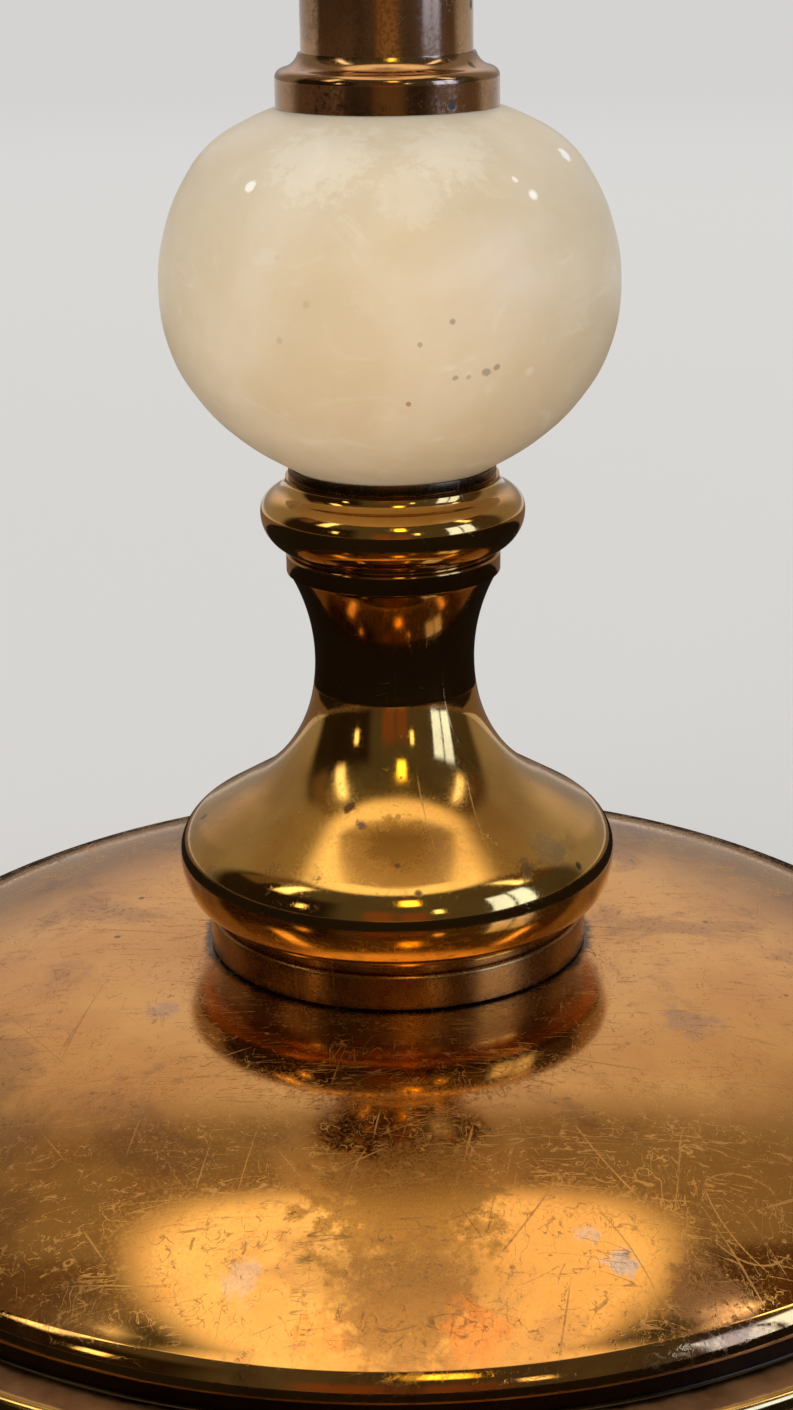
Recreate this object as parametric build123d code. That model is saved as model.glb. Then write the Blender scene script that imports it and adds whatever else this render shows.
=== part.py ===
# Torchiere floor lamp: stepped brass base, turned stem with an alabaster ball, long tube and glass bowl.
# Millimetres, +Z up, origin on the floor at the stem axis, front towards -Y.
import math
import os

from build123d import *

# Driving dimensions
tube_r = 15.875          # 1-1/4 inch brass tube
tube_wall = 1.2
pipe_r = 5.1             # 1/8 IP lamp pipe, which clamps the whole stack
pipe_bore_r = 3.3
pipe_hole_r = 5.4        # clearance hole that every stacked piece has for the pipe

overrun = 10.0           # how far a sheet outline runs on past the cut that ends it
behind_axis = -20.0      # and past the stem axis

felt_t = 2.5
felt_r = 130.0
sheet = 1.2              # spun brass sheet
base_top = 45.5          # flat crown of the base, where the foot ring stands
crown_r = 52.0           # where the flat crown turns into the shoulder
shoulder_round = 134.0
crest_r = 125.0
crest_bead = 1.6         # how far the rolled bead stands out past the crest
rim_r = 136.0            # skirt of the base
rim_round = 1.6
flange_z = 15.4
skirt_z = 1.5            # the skirt stops just above the floor
recess_r = 58.0          # hollow under the cast weight
recess_z = 22.0
recess_draft = 4.0
cord_z = 7.8
cord_hole_r = 3.5
cord_channel = 12.0      # square channel through the weight for the cord

foot_r = 38.1
foot_z = 54.4            # top of the foot ring, where the bell stands
bell_r = 43.8
bell_belly_z = 65.0
bell_top = 99.5
bell_wall = 1.6
bell_round = 8.7
bell_turn = 59.0         # degrees from the upright belly to the straight slope
bell_slope_len = 10.75
neck_top = 127.0
neck_r = 15.75
neck_waist_z = 104.8
neck_round = 37.5
neck_ring_r = 20.9
spigot_h = 6.0           # neck into bell
bead_spigot_h = 3.0      # bead into neck
bead_r = 25.7
bead_z = 135.0
bead_top = 141.9
seat_r = 20.1
washer_t = 0.6
ball_r = 43.5
ball_z = 178.7
ball_low = 143.6         # lower flat of the ball
ball_high = 211.6        # upper flat of the ball
ball_bore_r = 6.5
ball_washer_r = 18.0
ball_rest_r = 18.7       # flat part of the hollow that the ball rests in
collar_r = 20.75
collar_web = 5.3         # solid web between the ball recess and the tube socket
tube_socket = 3.4        # depth of tube held in each collar

tube_low = ball_high + washer_t + collar_web
tube_high = 1424.0

cup_foot_r = 19.5
cup_waist_r = 17.6
cup_h = 64.0
washer_h = 1.5
base_washer_h = 2.0
nut_flats = 14.3
base_nut_flats = 17.3
nut_h = 5.0

cap_r = 17.2             # socket cap and shell for an E26 bulb
shell_r = 16.35
screw_shell_r = 12.8     # half-way up the thread
thread_pitch = 3.63      # knuckle thread of bulb and socket, drawn as rings
thread_depth = 0.8
threads = 4
bulb_r = 30.0
bulb_len = 108.0

shaft_r = 2.0
shaft_clear = 0.05
knob_r = 6.5
knob_len = 14.0
knob_flutes = 12

bowl_round = 165.0
bowl_neck_round = 12.0
bowl_lip_round = 90.0
bowl_rim_round = 1.4
bowl_wall = 3.5
fitter_r = 34.9          # neck of the glass bowl, a 2-3/4 inch fitter
fitter_h = 9.5
gasket_t = 1.5
holder_lip_r = 50.0
holder_lip_z = 12.5      # of the turned-out flange, above the floor of the holder
holder_h = 15.0


# Outlines are drawn as (radius, height) on the -X side, where no piece has a side hole
section = Plane(origin=(0, 0, 0), x_dir=(-1, 0, 0), z_dir=(0, 1, 0))


def smooth(edge):
    # A large arc whose circle would cross the axis is turned as a free curve on the same line.
    if edge.geom_type != GeomType.CIRCLE or edge.arc_center.X > edge.radius:
        return edge
    if abs(edge.arc_center.X) < 1e-6:
        return edge
    steps = 8
    points = [edge @ (i / steps) for i in range(steps + 1)]
    return Spline(*points, tangents=[edge % 0, edge % 1])


def turned(*edges):
    # A closed outline turned about the stem axis.
    return revolve(section * make_face([smooth(edge) for edge in edges]), Axis.Z)


def outline(*points):
    # Straight edges through (radius, height) points, closed back to the first.
    return Polyline(*points, close=True).edges()


def tube(outer_r, inner_r, low, high):
    return turned(*outline((inner_r, low), (outer_r, low), (outer_r, high), (inner_r, high)))


def spun(outer_edges, wall, hole_r, low, high):
    # Sheet metal: the outline filled to the axis, less the same outline moved inwards by the wall.
    filled = make_face(outer_edges)
    reach = 400
    window = Location((hole_r + reach / 2, (low + high) / 2)) * Rectangle(reach, high - low)
    wall_section = (filled - offset(filled, -wall)) & window
    return turned(*wall_section.face().outer_wire().edges())


def knuckle(r, low):
    # Rolled thread drawn as rings: round crests and hollows to either side of r.
    half = thread_pitch / 2
    edges = []
    for i in range(2 * threads):
        z = low + i * half
        swell = thread_depth / 2 * (-1) ** i
        edges.append(ThreePointArc((r, z), (r + swell, z + half / 2), (r, z + half)))
    return edges


def hex_nut(flats, hole_r, low, high):
    blank = RegularPolygon(flats / 2, 6, major_radius=False) - Circle(hole_r)
    return extrude(Location((0, 0, low)) * blank, high - low)


# Base: spun shell on a cast weight
shoulder_z = base_top - shoulder_round
crest_z = shoulder_z + math.sqrt(shoulder_round**2 - (crest_r - crown_r) ** 2)
half_way = math.radians(16)
shoulder_mid = (
    crown_r + shoulder_round * math.sin(half_way),
    shoulder_z + shoulder_round * math.cos(half_way),
)
bead_mid = (crest_r + crest_bead, crest_z - 1.5)
bead_foot = (crest_r + 1.3, crest_z - 2 * crest_bead)
step_r = crest_r + 1.6
step_round = 0.6
step_foot = (step_r, flange_z + step_round)
flange_end = rim_r - rim_round
below_skirt = skirt_z - overrun
base_outline = [
    Line((behind_axis, base_top), (crown_r, base_top)),
    ThreePointArc((crown_r, base_top), shoulder_mid, (crest_r, crest_z)),
    ThreePointArc((crest_r, crest_z), bead_mid, bead_foot),
    Line(bead_foot, step_foot),
    JernArc(step_foot, (0, -1), step_round, 90),
    Line((step_r + step_round, flange_z), (flange_end, flange_z)),
    JernArc((flange_end, flange_z), (1, 0), rim_round, -90),
    Line((rim_r, flange_z - rim_round), (rim_r, below_skirt)),
    Line((rim_r, below_skirt), (behind_axis, below_skirt)),
    Line((behind_axis, below_skirt), (behind_axis, base_top)),
]
shell_hole_r = pipe_hole_r + 0.6
base_shell = spun(base_outline, sheet, shell_hole_r, skirt_z, base_top)
bushing_wall = 1.0
bushing_clear = 0.1
bushing_shank_r = cord_hole_r + bushing_wall
cord_axis = Plane(origin=(0, rim_r, cord_z), x_dir=(1, 0, 0), z_dir=(0, 1, 0))
base_shell -= extrude(cord_axis * Circle(bushing_shank_r + bushing_clear), 4 * sheet, both=True)

under_shell = base_top - sheet
weight_gap = 3.0
weight_round = shoulder_round - weight_gap
weight_r = 118.0
weight_shoulder = shoulder_z + math.sqrt(weight_round**2 - (weight_r - crown_r) ** 2)
weight_crown = shoulder_z + weight_round
pad_r = 46.0
mid_r = (weight_r + crown_r) / 2
weight_mid = (mid_r, shoulder_z + math.sqrt(weight_round**2 - (mid_r - crown_r) ** 2))
base_weight = turned(
    Line((pipe_hole_r, under_shell), (pad_r, under_shell)),
    Line((pad_r, under_shell), (pad_r, weight_crown)),
    Line((pad_r, weight_crown), (crown_r, weight_crown)),
    ThreePointArc((crown_r, weight_crown), weight_mid, (weight_r, weight_shoulder)),
    Line((weight_r, weight_shoulder), (weight_r, felt_t)),
    Line((weight_r, felt_t), (recess_r, felt_t)),
    Line((recess_r, felt_t), (recess_r - recess_draft, recess_z)),
    Line((recess_r - recess_draft, recess_z), (pipe_hole_r, recess_z)),
    Line((pipe_hole_r, recess_z), (pipe_hole_r, under_shell)),
)
channel_place = Location((0, (recess_r + weight_r) / 2, felt_t + cord_channel / 2))
base_weight -= channel_place * Box(cord_channel, weight_r, cord_channel)
base_felt = tube(felt_r, recess_r, 0, felt_t)

bushing_flange_t = 1.8
bushing_flange_r = bushing_shank_r + 1.2
bushing_back = -8.0
flange_mid = (bushing_shank_r + 0.8, bushing_flange_t * 0.7)
bushing_section = [
    Line((cord_hole_r, bushing_back), (bushing_shank_r, bushing_back)),
    Line((bushing_shank_r, bushing_back), (bushing_shank_r, 0)),
    Line((bushing_shank_r, 0), (bushing_flange_r, 0)),
    ThreePointArc((bushing_flange_r, 0), flange_mid, (bushing_shank_r, bushing_flange_t)),
    Line((bushing_shank_r, bushing_flange_t), (cord_hole_r, bushing_flange_t)),
    Line((cord_hole_r, bushing_flange_t), (cord_hole_r, bushing_back)),
]
cord_bushing = cord_axis * turned(*bushing_section)

washer_r = 20.0
base_nut_top = recess_z - base_washer_h
base_washer = tube(washer_r, pipe_hole_r, base_nut_top, recess_z)
base_nut = hex_nut(base_nut_flats, pipe_r, base_nut_top - nut_h, base_nut_top)

# Foot ring and bell
foot_inner_r = 28.0
groove_r = 36.9
foot_round = 1.0
foot_chamfer = 0.5
foot_edge_z = foot_z - 1.4
foot_ring = turned(
    Line((foot_inner_r, base_top), (foot_r - foot_chamfer, base_top)),
    Line((foot_r - foot_chamfer, base_top), (foot_r, base_top + foot_chamfer)),
    Line((foot_r, base_top + foot_chamfer), (foot_r, foot_edge_z - foot_round)),
    JernArc((foot_r, foot_edge_z - foot_round), (0, 1), foot_round, 90),
    Line((foot_r - foot_round, foot_edge_z), (groove_r, foot_edge_z)),
    Line((groove_r, foot_edge_z), (groove_r, foot_z)),
    Line((groove_r, foot_z), (foot_inner_r, foot_z)),
    Line((foot_inner_r, foot_z), (foot_inner_r, base_top)),
)

bell_edge_r = 37.4
bell_edge_z = foot_z + 0.6
bell_cove_mid = (38.2, 56.1)
bell_belly_round = 15.0
bell_belly_turn = 28.0
bell_under_round = 3.0
bell_under_turn = 52.0
bell_top_r = neck_r + neck_round - math.sqrt(neck_round**2 - (bell_top - neck_waist_z) ** 2)
bell_belly = JernArc((bell_r, bell_belly_z), (0, -1), bell_belly_round, -bell_belly_turn)
bell_under = JernArc(bell_belly @ 1, bell_belly % 1, bell_under_round, -bell_under_turn)
bell_shoulder = JernArc((bell_r, bell_belly_z), (0, 1), bell_round, bell_turn)
bell_slope = PolarLine(bell_shoulder @ 1, bell_slope_len, direction=bell_shoulder % 1)
bell_flare = TangentArc(bell_slope @ 1, (bell_top_r, bell_top), tangent=bell_slope % 1)
below_bell = foot_z - overrun
above_bell = bell_top + overrun
bell_outline = [
    Line((behind_axis, below_bell), (bell_edge_r, below_bell)),
    Line((bell_edge_r, below_bell), (bell_edge_r, bell_edge_z)),
    ThreePointArc((bell_edge_r, bell_edge_z), bell_cove_mid, bell_under @ 1),
    bell_under,
    bell_belly,
    bell_shoulder,
    bell_slope,
    bell_flare,
    Line((bell_top_r, bell_top), (bell_top_r, above_bell)),
    Line((bell_top_r, above_bell), (behind_axis, above_bell)),
    Line((behind_axis, above_bell), (behind_axis, below_bell)),
]
bell = spun(bell_outline, bell_wall, pipe_r, foot_z, bell_top)

# Neck, bead and ball seat
spigot_clear = 0.15
spigot_r = bell_top_r - bell_wall - spigot_clear
spigot_low = bell_top - spigot_h
neck_bore_r = 10.0
ring_low = 122.9
neck_ring_in = neck_r + neck_round - math.sqrt(neck_round**2 - (ring_low - neck_waist_z) ** 2)
ring_edge = 0.4
neck = turned(
    Line((neck_bore_r, spigot_low), (spigot_r, spigot_low)),
    Line((spigot_r, spigot_low), (spigot_r, bell_top)),
    Line((spigot_r, bell_top), (bell_top_r, bell_top)),
    ThreePointArc((bell_top_r, bell_top), (neck_r, neck_waist_z), (neck_ring_in, ring_low)),
    Line((neck_ring_in, ring_low), (neck_ring_r, ring_low)),
    Line((neck_ring_r, ring_low), (neck_ring_r, neck_top - ring_edge)),
    Line((neck_ring_r, neck_top - ring_edge), (neck_ring_r - ring_edge, neck_top)),
    Line((neck_ring_r - ring_edge, neck_top), (neck_bore_r, neck_top)),
    Line((neck_bore_r, neck_top), (neck_bore_r, spigot_low)),
)

bead_quirk_r = 19.8
bead_low = neck_top + 1.0
bead_under = (21.4, bead_low)
bead_lower_mid = (24.75, 131.2)
bead_upper_mid = (24.74, 137.7)
bead_shoulder = (22.3, 139.2)
bead_cove_mid = (21.07, 140.3)
bead_top_r = 20.7
bead_spigot_r = neck_bore_r - 0.1
bead_spigot_z = neck_top - bead_spigot_h
neck_bead = turned(
    Line((pipe_hole_r, bead_spigot_z), (bead_spigot_r, bead_spigot_z)),
    Line((bead_spigot_r, bead_spigot_z), (bead_spigot_r, neck_top)),
    Line((bead_spigot_r, neck_top), (bead_quirk_r, neck_top)),
    Line((bead_quirk_r, neck_top), (bead_quirk_r, bead_low)),
    Line((bead_quirk_r, bead_low), bead_under),
    ThreePointArc(bead_under, bead_lower_mid, (bead_r, bead_z)),
    ThreePointArc((bead_r, bead_z), bead_upper_mid, bead_shoulder),
    ThreePointArc(bead_shoulder, bead_cove_mid, (bead_top_r, bead_top)),
    Line((bead_top_r, bead_top), (pipe_hole_r, bead_top)),
    Line((pipe_hole_r, bead_top), (pipe_hole_r, bead_spigot_z)),
)

seat_floor = ball_low - washer_t
seat_lip_z = ball_low + 0.55
seat_hollow = (19.1, ball_low - 0.15)
ball_seat = turned(
    *outline(
        (pipe_hole_r, bead_top),
        (seat_r, bead_top),
        (seat_r, seat_lip_z),
        seat_hollow,
        (ball_rest_r, seat_floor),
        (pipe_hole_r, seat_floor),
    )
)

# Alabaster ball, bored for the pipe, between two thin washers
ball_outline = [
    (18.9, ball_low),
    (29.5, 150.5),
    (36.8, 158.0),
    (41.7, 167.0),
    (ball_r, ball_z),
    (41.9, 189.6),
    (37.9, 198.7),
    (33.3, 204.5),
    (25.8, 209.1),
    (19.6, ball_high),
]
alabaster_ball = turned(
    Spline(*ball_outline),
    Line(ball_outline[-1], (ball_bore_r, ball_high)),
    Line((ball_bore_r, ball_high), (ball_bore_r, ball_low)),
    Line((ball_bore_r, ball_low), ball_outline[0]),
)
ball_washers = Compound(
    children=[
        tube(ball_washer_r, ball_bore_r, seat_floor, ball_low),
        tube(ball_washer_r, ball_bore_r, ball_high, ball_high + washer_t),
    ]
)

# Collar that holds the tube on the ball, and its twin upside down at the top of the tube
collar_lip = ball_high - 0.35
collar_floor = ball_high + washer_t
collar_hollow = (19.8, ball_high + 0.1)
collar_round = 0.5
collar_throat_r = tube_r + 0.5
sweep_r = 18.0           # the concave sweep from the collar's wall to the tube passes here
sweep_rise = 0.4 * tube_socket
wall_top = tube_low - collar_round
throat_z = tube_low + tube_socket
ball_collar = turned(
    Line((pipe_hole_r, collar_floor), (ball_rest_r, collar_floor)),
    Line((ball_rest_r, collar_floor), collar_hollow),
    Line(collar_hollow, (collar_r, collar_lip)),
    Line((collar_r, collar_lip), (collar_r, wall_top)),
    JernArc((collar_r, wall_top), (0, 1), collar_round, 90),
    ThreePointArc(
        (collar_r - collar_round, tube_low),
        (sweep_r, tube_low + sweep_rise),
        (collar_throat_r, throat_z),
    ),
    Line((collar_throat_r, throat_z), (tube_r, throat_z)),
    Line((tube_r, throat_z), (tube_r, tube_low)),
    Line((tube_r, tube_low), (pipe_hole_r, tube_low)),
    Line((pipe_hole_r, tube_low), (pipe_hole_r, collar_floor)),
)
collar_high = tube_high + 6.4
top_throat_z = tube_high - tube_socket
top_wall = tube_high + collar_round
top_collar = turned(
    Line((pipe_hole_r, collar_high), (collar_r, collar_high)),
    Line((collar_r, collar_high), (collar_r, top_wall)),
    JernArc((collar_r, top_wall), (0, -1), collar_round, -90),
    ThreePointArc(
        (collar_r - collar_round, tube_high),
        (sweep_r, tube_high - sweep_rise),
        (collar_throat_r, top_throat_z),
    ),
    Line((collar_throat_r, top_throat_z), (tube_r, top_throat_z)),
    Line((tube_r, top_throat_z), (tube_r, tube_high)),
    Line((tube_r, tube_high), (pipe_hole_r, tube_high)),
    Line((pipe_hole_r, tube_high), (pipe_hole_r, collar_high)),
)

bush_h = 8.0
column_tube = tube(tube_r, tube_r - tube_wall, tube_low, tube_high)
bush_clear = 0.05
bush_r = tube_r - tube_wall - bush_clear
tube_bushes = Compound(
    children=[
        tube(bush_r, pipe_hole_r, tube_low, tube_low + bush_h),
        tube(bush_r, pipe_hole_r, tube_high - bush_h, tube_high),
    ]
)

# Socket cup on the top collar, clamped down by the pipe and its nut
cup_low = collar_high
cup_high = cup_low + cup_h
cup_foot_z = cup_low + 2.6
cup_cove_mid = (18.1, cup_low + 4.2)
cup_waist_z = cup_low + 7.0
cup_flare_round = 20.0
cup_flare_turn = -44.0
cup_belly_round = 32.0
cup_belly_turn = 40.0
cup_flare = JernArc((cup_waist_r, cup_waist_z), (0, 1), cup_flare_round, cup_flare_turn)
cup_belly = JernArc(cup_flare @ 1, cup_flare % 1, cup_belly_round, cup_belly_turn)
cup_side = PolarLine(cup_belly @ 1, cup_h, direction=cup_belly % 1)
cup_outline = [
    Line((behind_axis, cup_low), (cup_foot_r, cup_low)),
    Line((cup_foot_r, cup_low), (cup_foot_r, cup_foot_z)),
    ThreePointArc((cup_foot_r, cup_foot_z), cup_cove_mid, (cup_waist_r, cup_waist_z)),
    cup_flare,
    cup_belly,
    cup_side,
    Line(cup_side @ 1, (behind_axis, (cup_side @ 1).Y)),
    Line((behind_axis, (cup_side @ 1).Y), (behind_axis, cup_low)),
]
socket_cup = spun(cup_outline, sheet, pipe_hole_r, cup_low, cup_high)
cup_floor = cup_low + sheet
cup_washer_r = 12.0
cup_nut_low = cup_floor + washer_h
cup_nut_high = cup_nut_low + nut_h
cup_washer = tube(cup_washer_r, pipe_hole_r, cup_floor, cup_nut_low)
cup_nut = hex_nut(nut_flats, pipe_r, cup_nut_low, cup_nut_high)
socket_z = cup_nut_high + 2.0
pipe_high = socket_z + 9.0
pipe_low = base_nut_top - nut_h - 4.0
stem_pipe = tube(pipe_r, pipe_bore_r, pipe_low, pipe_high)

# Lamp socket: cap on the pipe, shell, paper sleeve, moulded body, screw shell and contact
cap_hub_r = 8.0
cap_wall = 0.8
cap_in_r = cap_r - cap_wall
hub_z = socket_z + 5.0
cap_turn_z = socket_z + 15.0
cap_rim_z = socket_z + 22.0
hub_inner_z = hub_z + 1.0
cap_mid = (14.4, socket_z + 8.6)
cap_inner_mid = (13.8, socket_z + 9.4)
socket_cap = turned(
    Line((pipe_r, socket_z), (cap_hub_r, socket_z)),
    Line((cap_hub_r, socket_z), (cap_hub_r, hub_z)),
    ThreePointArc((cap_hub_r, hub_z), cap_mid, (cap_r, cap_turn_z)),
    Line((cap_r, cap_turn_z), (cap_r, cap_rim_z)),
    Line((cap_r, cap_rim_z), (cap_in_r, cap_rim_z)),
    Line((cap_in_r, cap_rim_z), (cap_in_r, cap_turn_z)),
    ThreePointArc((cap_in_r, cap_turn_z), cap_inner_mid, (cap_hub_r, hub_inner_z)),
    Line((cap_hub_r, hub_inner_z), (cap_hub_r, pipe_high)),
    Line((cap_hub_r, pipe_high), (pipe_r, pipe_high)),
    Line((pipe_r, pipe_high), (pipe_r, socket_z)),
)
shell_low = cap_turn_z + 0.5
shell_high = shell_low + 45.0
shell_wall = 0.5
socket_shell = tube(shell_r, shell_r - shell_wall, shell_low, shell_high)
sleeve_clear = 0.05
sleeve_r = shell_r - shell_wall - sleeve_clear
sleeve_wall = 0.5
sleeve_high = shell_high - 1.0
socket_sleeve = tube(sleeve_r, sleeve_r - sleeve_wall, shell_low, sleeve_high)
body_clear = 0.1
body_r = sleeve_r - sleeve_wall - body_clear
body_h = 19.0
body_high = shell_low + body_h
socket_body = extrude(Location((0, 0, shell_low)) * Circle(body_r), body_h)
contact_h = 2.6
contact_r = 3.0
strip_w = 5.0
strip_len = 12.0
strip_t = 1.04
socket_contact = extrude(Location((0, 0, body_high)) * Rectangle(strip_w, strip_len), strip_t)
socket_contact += extrude(Location((0, 0, body_high)) * Circle(contact_r), contact_h)
bulb_tip = body_high + contact_h
cap_low = bulb_tip + 3.0
thread_low = cap_low + 1.2
thread_high = thread_low + threads * thread_pitch
screw_wall = 0.4
screw_out_r = screw_shell_r + screw_wall
screw_high = shell_high - 3.5
socket_screw_shell = turned(
    Line((screw_shell_r, body_high), (screw_out_r, body_high)),
    Line((screw_out_r, body_high), (screw_out_r, thread_low)),
    *knuckle(screw_out_r, thread_low),
    Line((screw_out_r, thread_high), (screw_out_r, screw_high)),
    Line((screw_out_r, screw_high), (screw_shell_r, screw_high)),
    Line((screw_shell_r, screw_high), (screw_shell_r, thread_high)),
    *knuckle(screw_shell_r, thread_low),
    Line((screw_shell_r, thread_low), (screw_shell_r, body_high)),
)

# Two terminal screws in flats at the front and back of the moulded body
terminal_z = shell_low + 5.5
flat_y = 11.0
pocket_w = 12.0
pocket_d = 10.0
pocket_h = 9.0
head_r = 3.2
head_h = 1.8
slot_w = 0.8
slot_d = 0.7
terminal_list = []
for side in (-1, 1):
    pocket = Location((0, side * (flat_y + pocket_d / 2), terminal_z)) * Box(pocket_w, pocket_d, pocket_h)
    socket_body -= pocket
    seat_plane = Plane(origin=(0, side * flat_y, terminal_z), z_dir=(0, side, 0))
    screw_head = extrude(seat_plane * Circle(head_r), head_h)
    screw_slot = seat_plane * Location((0, 0, head_h)) * Box(3 * head_r, slot_w, 2 * slot_d)
    terminal_list.append(screw_head - screw_slot)
terminal_screws = Compound(children=terminal_list)

# Rotary switch: shaft into the moulded body, out through sleeve, shell and cup to the knob at +X
switch_z = shell_low + 12.0
shaft_in = 4.0
shaft_out = 44.0
knob_in = 35.0
switch_axis = Plane(origin=(0, 0, switch_z), x_dir=(0, 1, 0), z_dir=(1, 0, 0))


def switch_rod(r, low, high):
    return extrude(switch_axis * Location((0, 0, low)) * Circle(r), high - low)


inner_hole_r = shaft_r + 1.0
cup_hole_r = shaft_r + 2.0
past_shell = shell_r + 4.0
past_cup = shaft_out - 4.0
socket_body -= switch_rod(shaft_r + shaft_clear, shaft_in - 0.5, past_shell)
socket_sleeve -= switch_rod(inner_hole_r, shaft_in, past_shell)
socket_shell -= switch_rod(inner_hole_r, shaft_in, past_shell)
socket_cap -= switch_rod(inner_hole_r, cap_hub_r + shaft_in, past_shell)
socket_cup -= switch_rod(cup_hole_r, past_shell, past_cup)
switch_shaft = switch_rod(shaft_r, shaft_in, shaft_out)
knob_hub_r = 4.0
knob_hub_h = 2.5
knob_skirt_z = 4.0
knob_side = (knob_r - 0.5, knob_len - 1.5)
knob_edge_mid = (knob_r - 1.2, knob_len - 0.4)
knob_face_r = knob_r - 2.5
knob_shape = turned(
    Line((0, 0), (knob_hub_r, 0)),
    Line((knob_hub_r, 0), (knob_hub_r, knob_hub_h)),
    Line((knob_hub_r, knob_hub_h), (knob_r, knob_skirt_z)),
    Line((knob_r, knob_skirt_z), knob_side),
    ThreePointArc(knob_side, knob_edge_mid, (knob_face_r, knob_len)),
    Line((knob_face_r, knob_len), (0, knob_len)),
    Line((0, knob_len), (0, 0)),
)
flute_r = 1.0
flute_z = 3.0
flute_ring_r = knob_r + 0.45
flutes = PolarLocations(flute_ring_r, knob_flutes) * extrude(Circle(flute_r), knob_len)
knob_shape -= Location((0, 0, flute_z)) * Compound(children=list(flutes))
knob_shape -= extrude(Circle(shaft_r), shaft_out - knob_in)
switch_knob = switch_axis * Location((0, 0, knob_in)) * knob_shape

# Bulb, screwed home against the contact
cap_high = cap_low + 22.0
thread_clear = 0.2
bulb_cap_wall = 0.4
bulb_cap_r = screw_shell_r - thread_clear
bulb_cap_in_r = bulb_cap_r - bulb_cap_wall
bulb_cap = turned(
    Line((bulb_cap_in_r, cap_low), (bulb_cap_r, cap_low)),
    Line((bulb_cap_r, cap_low), (bulb_cap_r, thread_low)),
    *knuckle(bulb_cap_r, thread_low),
    Line((bulb_cap_r, thread_high), (bulb_cap_r, cap_high)),
    Line((bulb_cap_r, cap_high), (bulb_cap_in_r, cap_high)),
    Line((bulb_cap_in_r, cap_high), (bulb_cap_in_r, thread_high)),
    *knuckle(bulb_cap_in_r, thread_low),
    Line((bulb_cap_in_r, thread_low), (bulb_cap_in_r, cap_low)),
)
tip_t = 1.0
tip_r = 4.0
tip_z = bulb_tip + tip_t
insulator_r = 5.0
insulator_high = cap_low + 1.0
bulb_insulator = turned(
    *outline(
        (0, tip_z),
        (insulator_r, tip_z),
        (bulb_cap_in_r, cap_low),
        (bulb_cap_in_r, insulator_high),
        (0, insulator_high),
    )
)
bulb_contact = turned(*outline((0, bulb_tip), (tip_r, bulb_tip), (tip_r + 0.6, tip_z), (0, tip_z)))
neck_gap = 0.2
glass_wall = 0.8
glass_low = thread_high + 1.0
bulb_neck_r = bulb_cap_in_r - neck_gap
bulb_top = bulb_tip + bulb_len
bulb_wide_z = bulb_top - bulb_r
bulb_lean = 28.0         # slope of the flank, from the upright
bulb_neck_round = 30.0
flank_end = (
    bulb_r * math.cos(math.radians(bulb_lean)),
    bulb_wide_z - bulb_r * math.sin(math.radians(bulb_lean)),
)
flank_foot = flank_end[1] - (flank_end[0] - bulb_neck_r) / math.tan(math.radians(bulb_lean))
bulb_neck_z = flank_foot - bulb_neck_round * math.tan(math.radians(bulb_lean / 2))
bulb_neck_curve = JernArc((bulb_neck_r, bulb_neck_z), (0, 1), bulb_neck_round, -bulb_lean)
below_glass = glass_low - overrun
bulb_outline = [
    Line((behind_axis, below_glass), (bulb_neck_r, below_glass)),
    Line((bulb_neck_r, below_glass), (bulb_neck_r, bulb_neck_z)),
    bulb_neck_curve,
    Line(bulb_neck_curve @ 1, flank_end),
    ThreePointArc(flank_end, (bulb_r, bulb_wide_z), (0, bulb_top)),
    Line((0, bulb_top), (behind_axis, bulb_top)),
    Line((behind_axis, bulb_top), (behind_axis, below_glass)),
]
bulb_glass = spun(bulb_outline, glass_wall, 0, glass_low, bulb_top)

# Shade holder on the cup rim, clamped by a ring on the socket shell
holder_z = cup_high
holder_out_r = fitter_r + 1.0 + sheet
holder_round = 2.2
holder_floor = holder_z + sheet
holder_turn_z = holder_z + holder_round
holder_wall_z = holder_z + 7.0
holder_flare_mid = (40.2, holder_z + 10.6)
holder_flange_z = holder_z + holder_lip_z
above_holder = holder_z + holder_h + overrun
holder_outline = [
    Line((behind_axis, holder_z), (holder_out_r - holder_round, holder_z)),
    JernArc((holder_out_r - holder_round, holder_z), (1, 0), holder_round, 90),
    Line((holder_out_r, holder_turn_z), (holder_out_r, holder_wall_z)),
    ThreePointArc((holder_out_r, holder_wall_z), holder_flare_mid, (holder_lip_r, holder_flange_z)),
    Line((holder_lip_r, holder_flange_z), (holder_lip_r, above_holder)),
    Line((holder_lip_r, above_holder), (behind_axis, above_holder)),
    Line((behind_axis, above_holder), (behind_axis, holder_z)),
]
holder_clear = 0.1
clamp_r = 21.5
clamp_h = 4.0
gasket_in_r = 29.0
shade_holder = spun(holder_outline, sheet, shell_r + holder_clear, holder_z, holder_z + holder_h)
holder_ring = tube(clamp_r, shell_r, holder_floor, holder_floor + clamp_h)
bowl_gasket = tube(fitter_r - 0.2, gasket_in_r, holder_floor, holder_floor + gasket_t)

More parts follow.
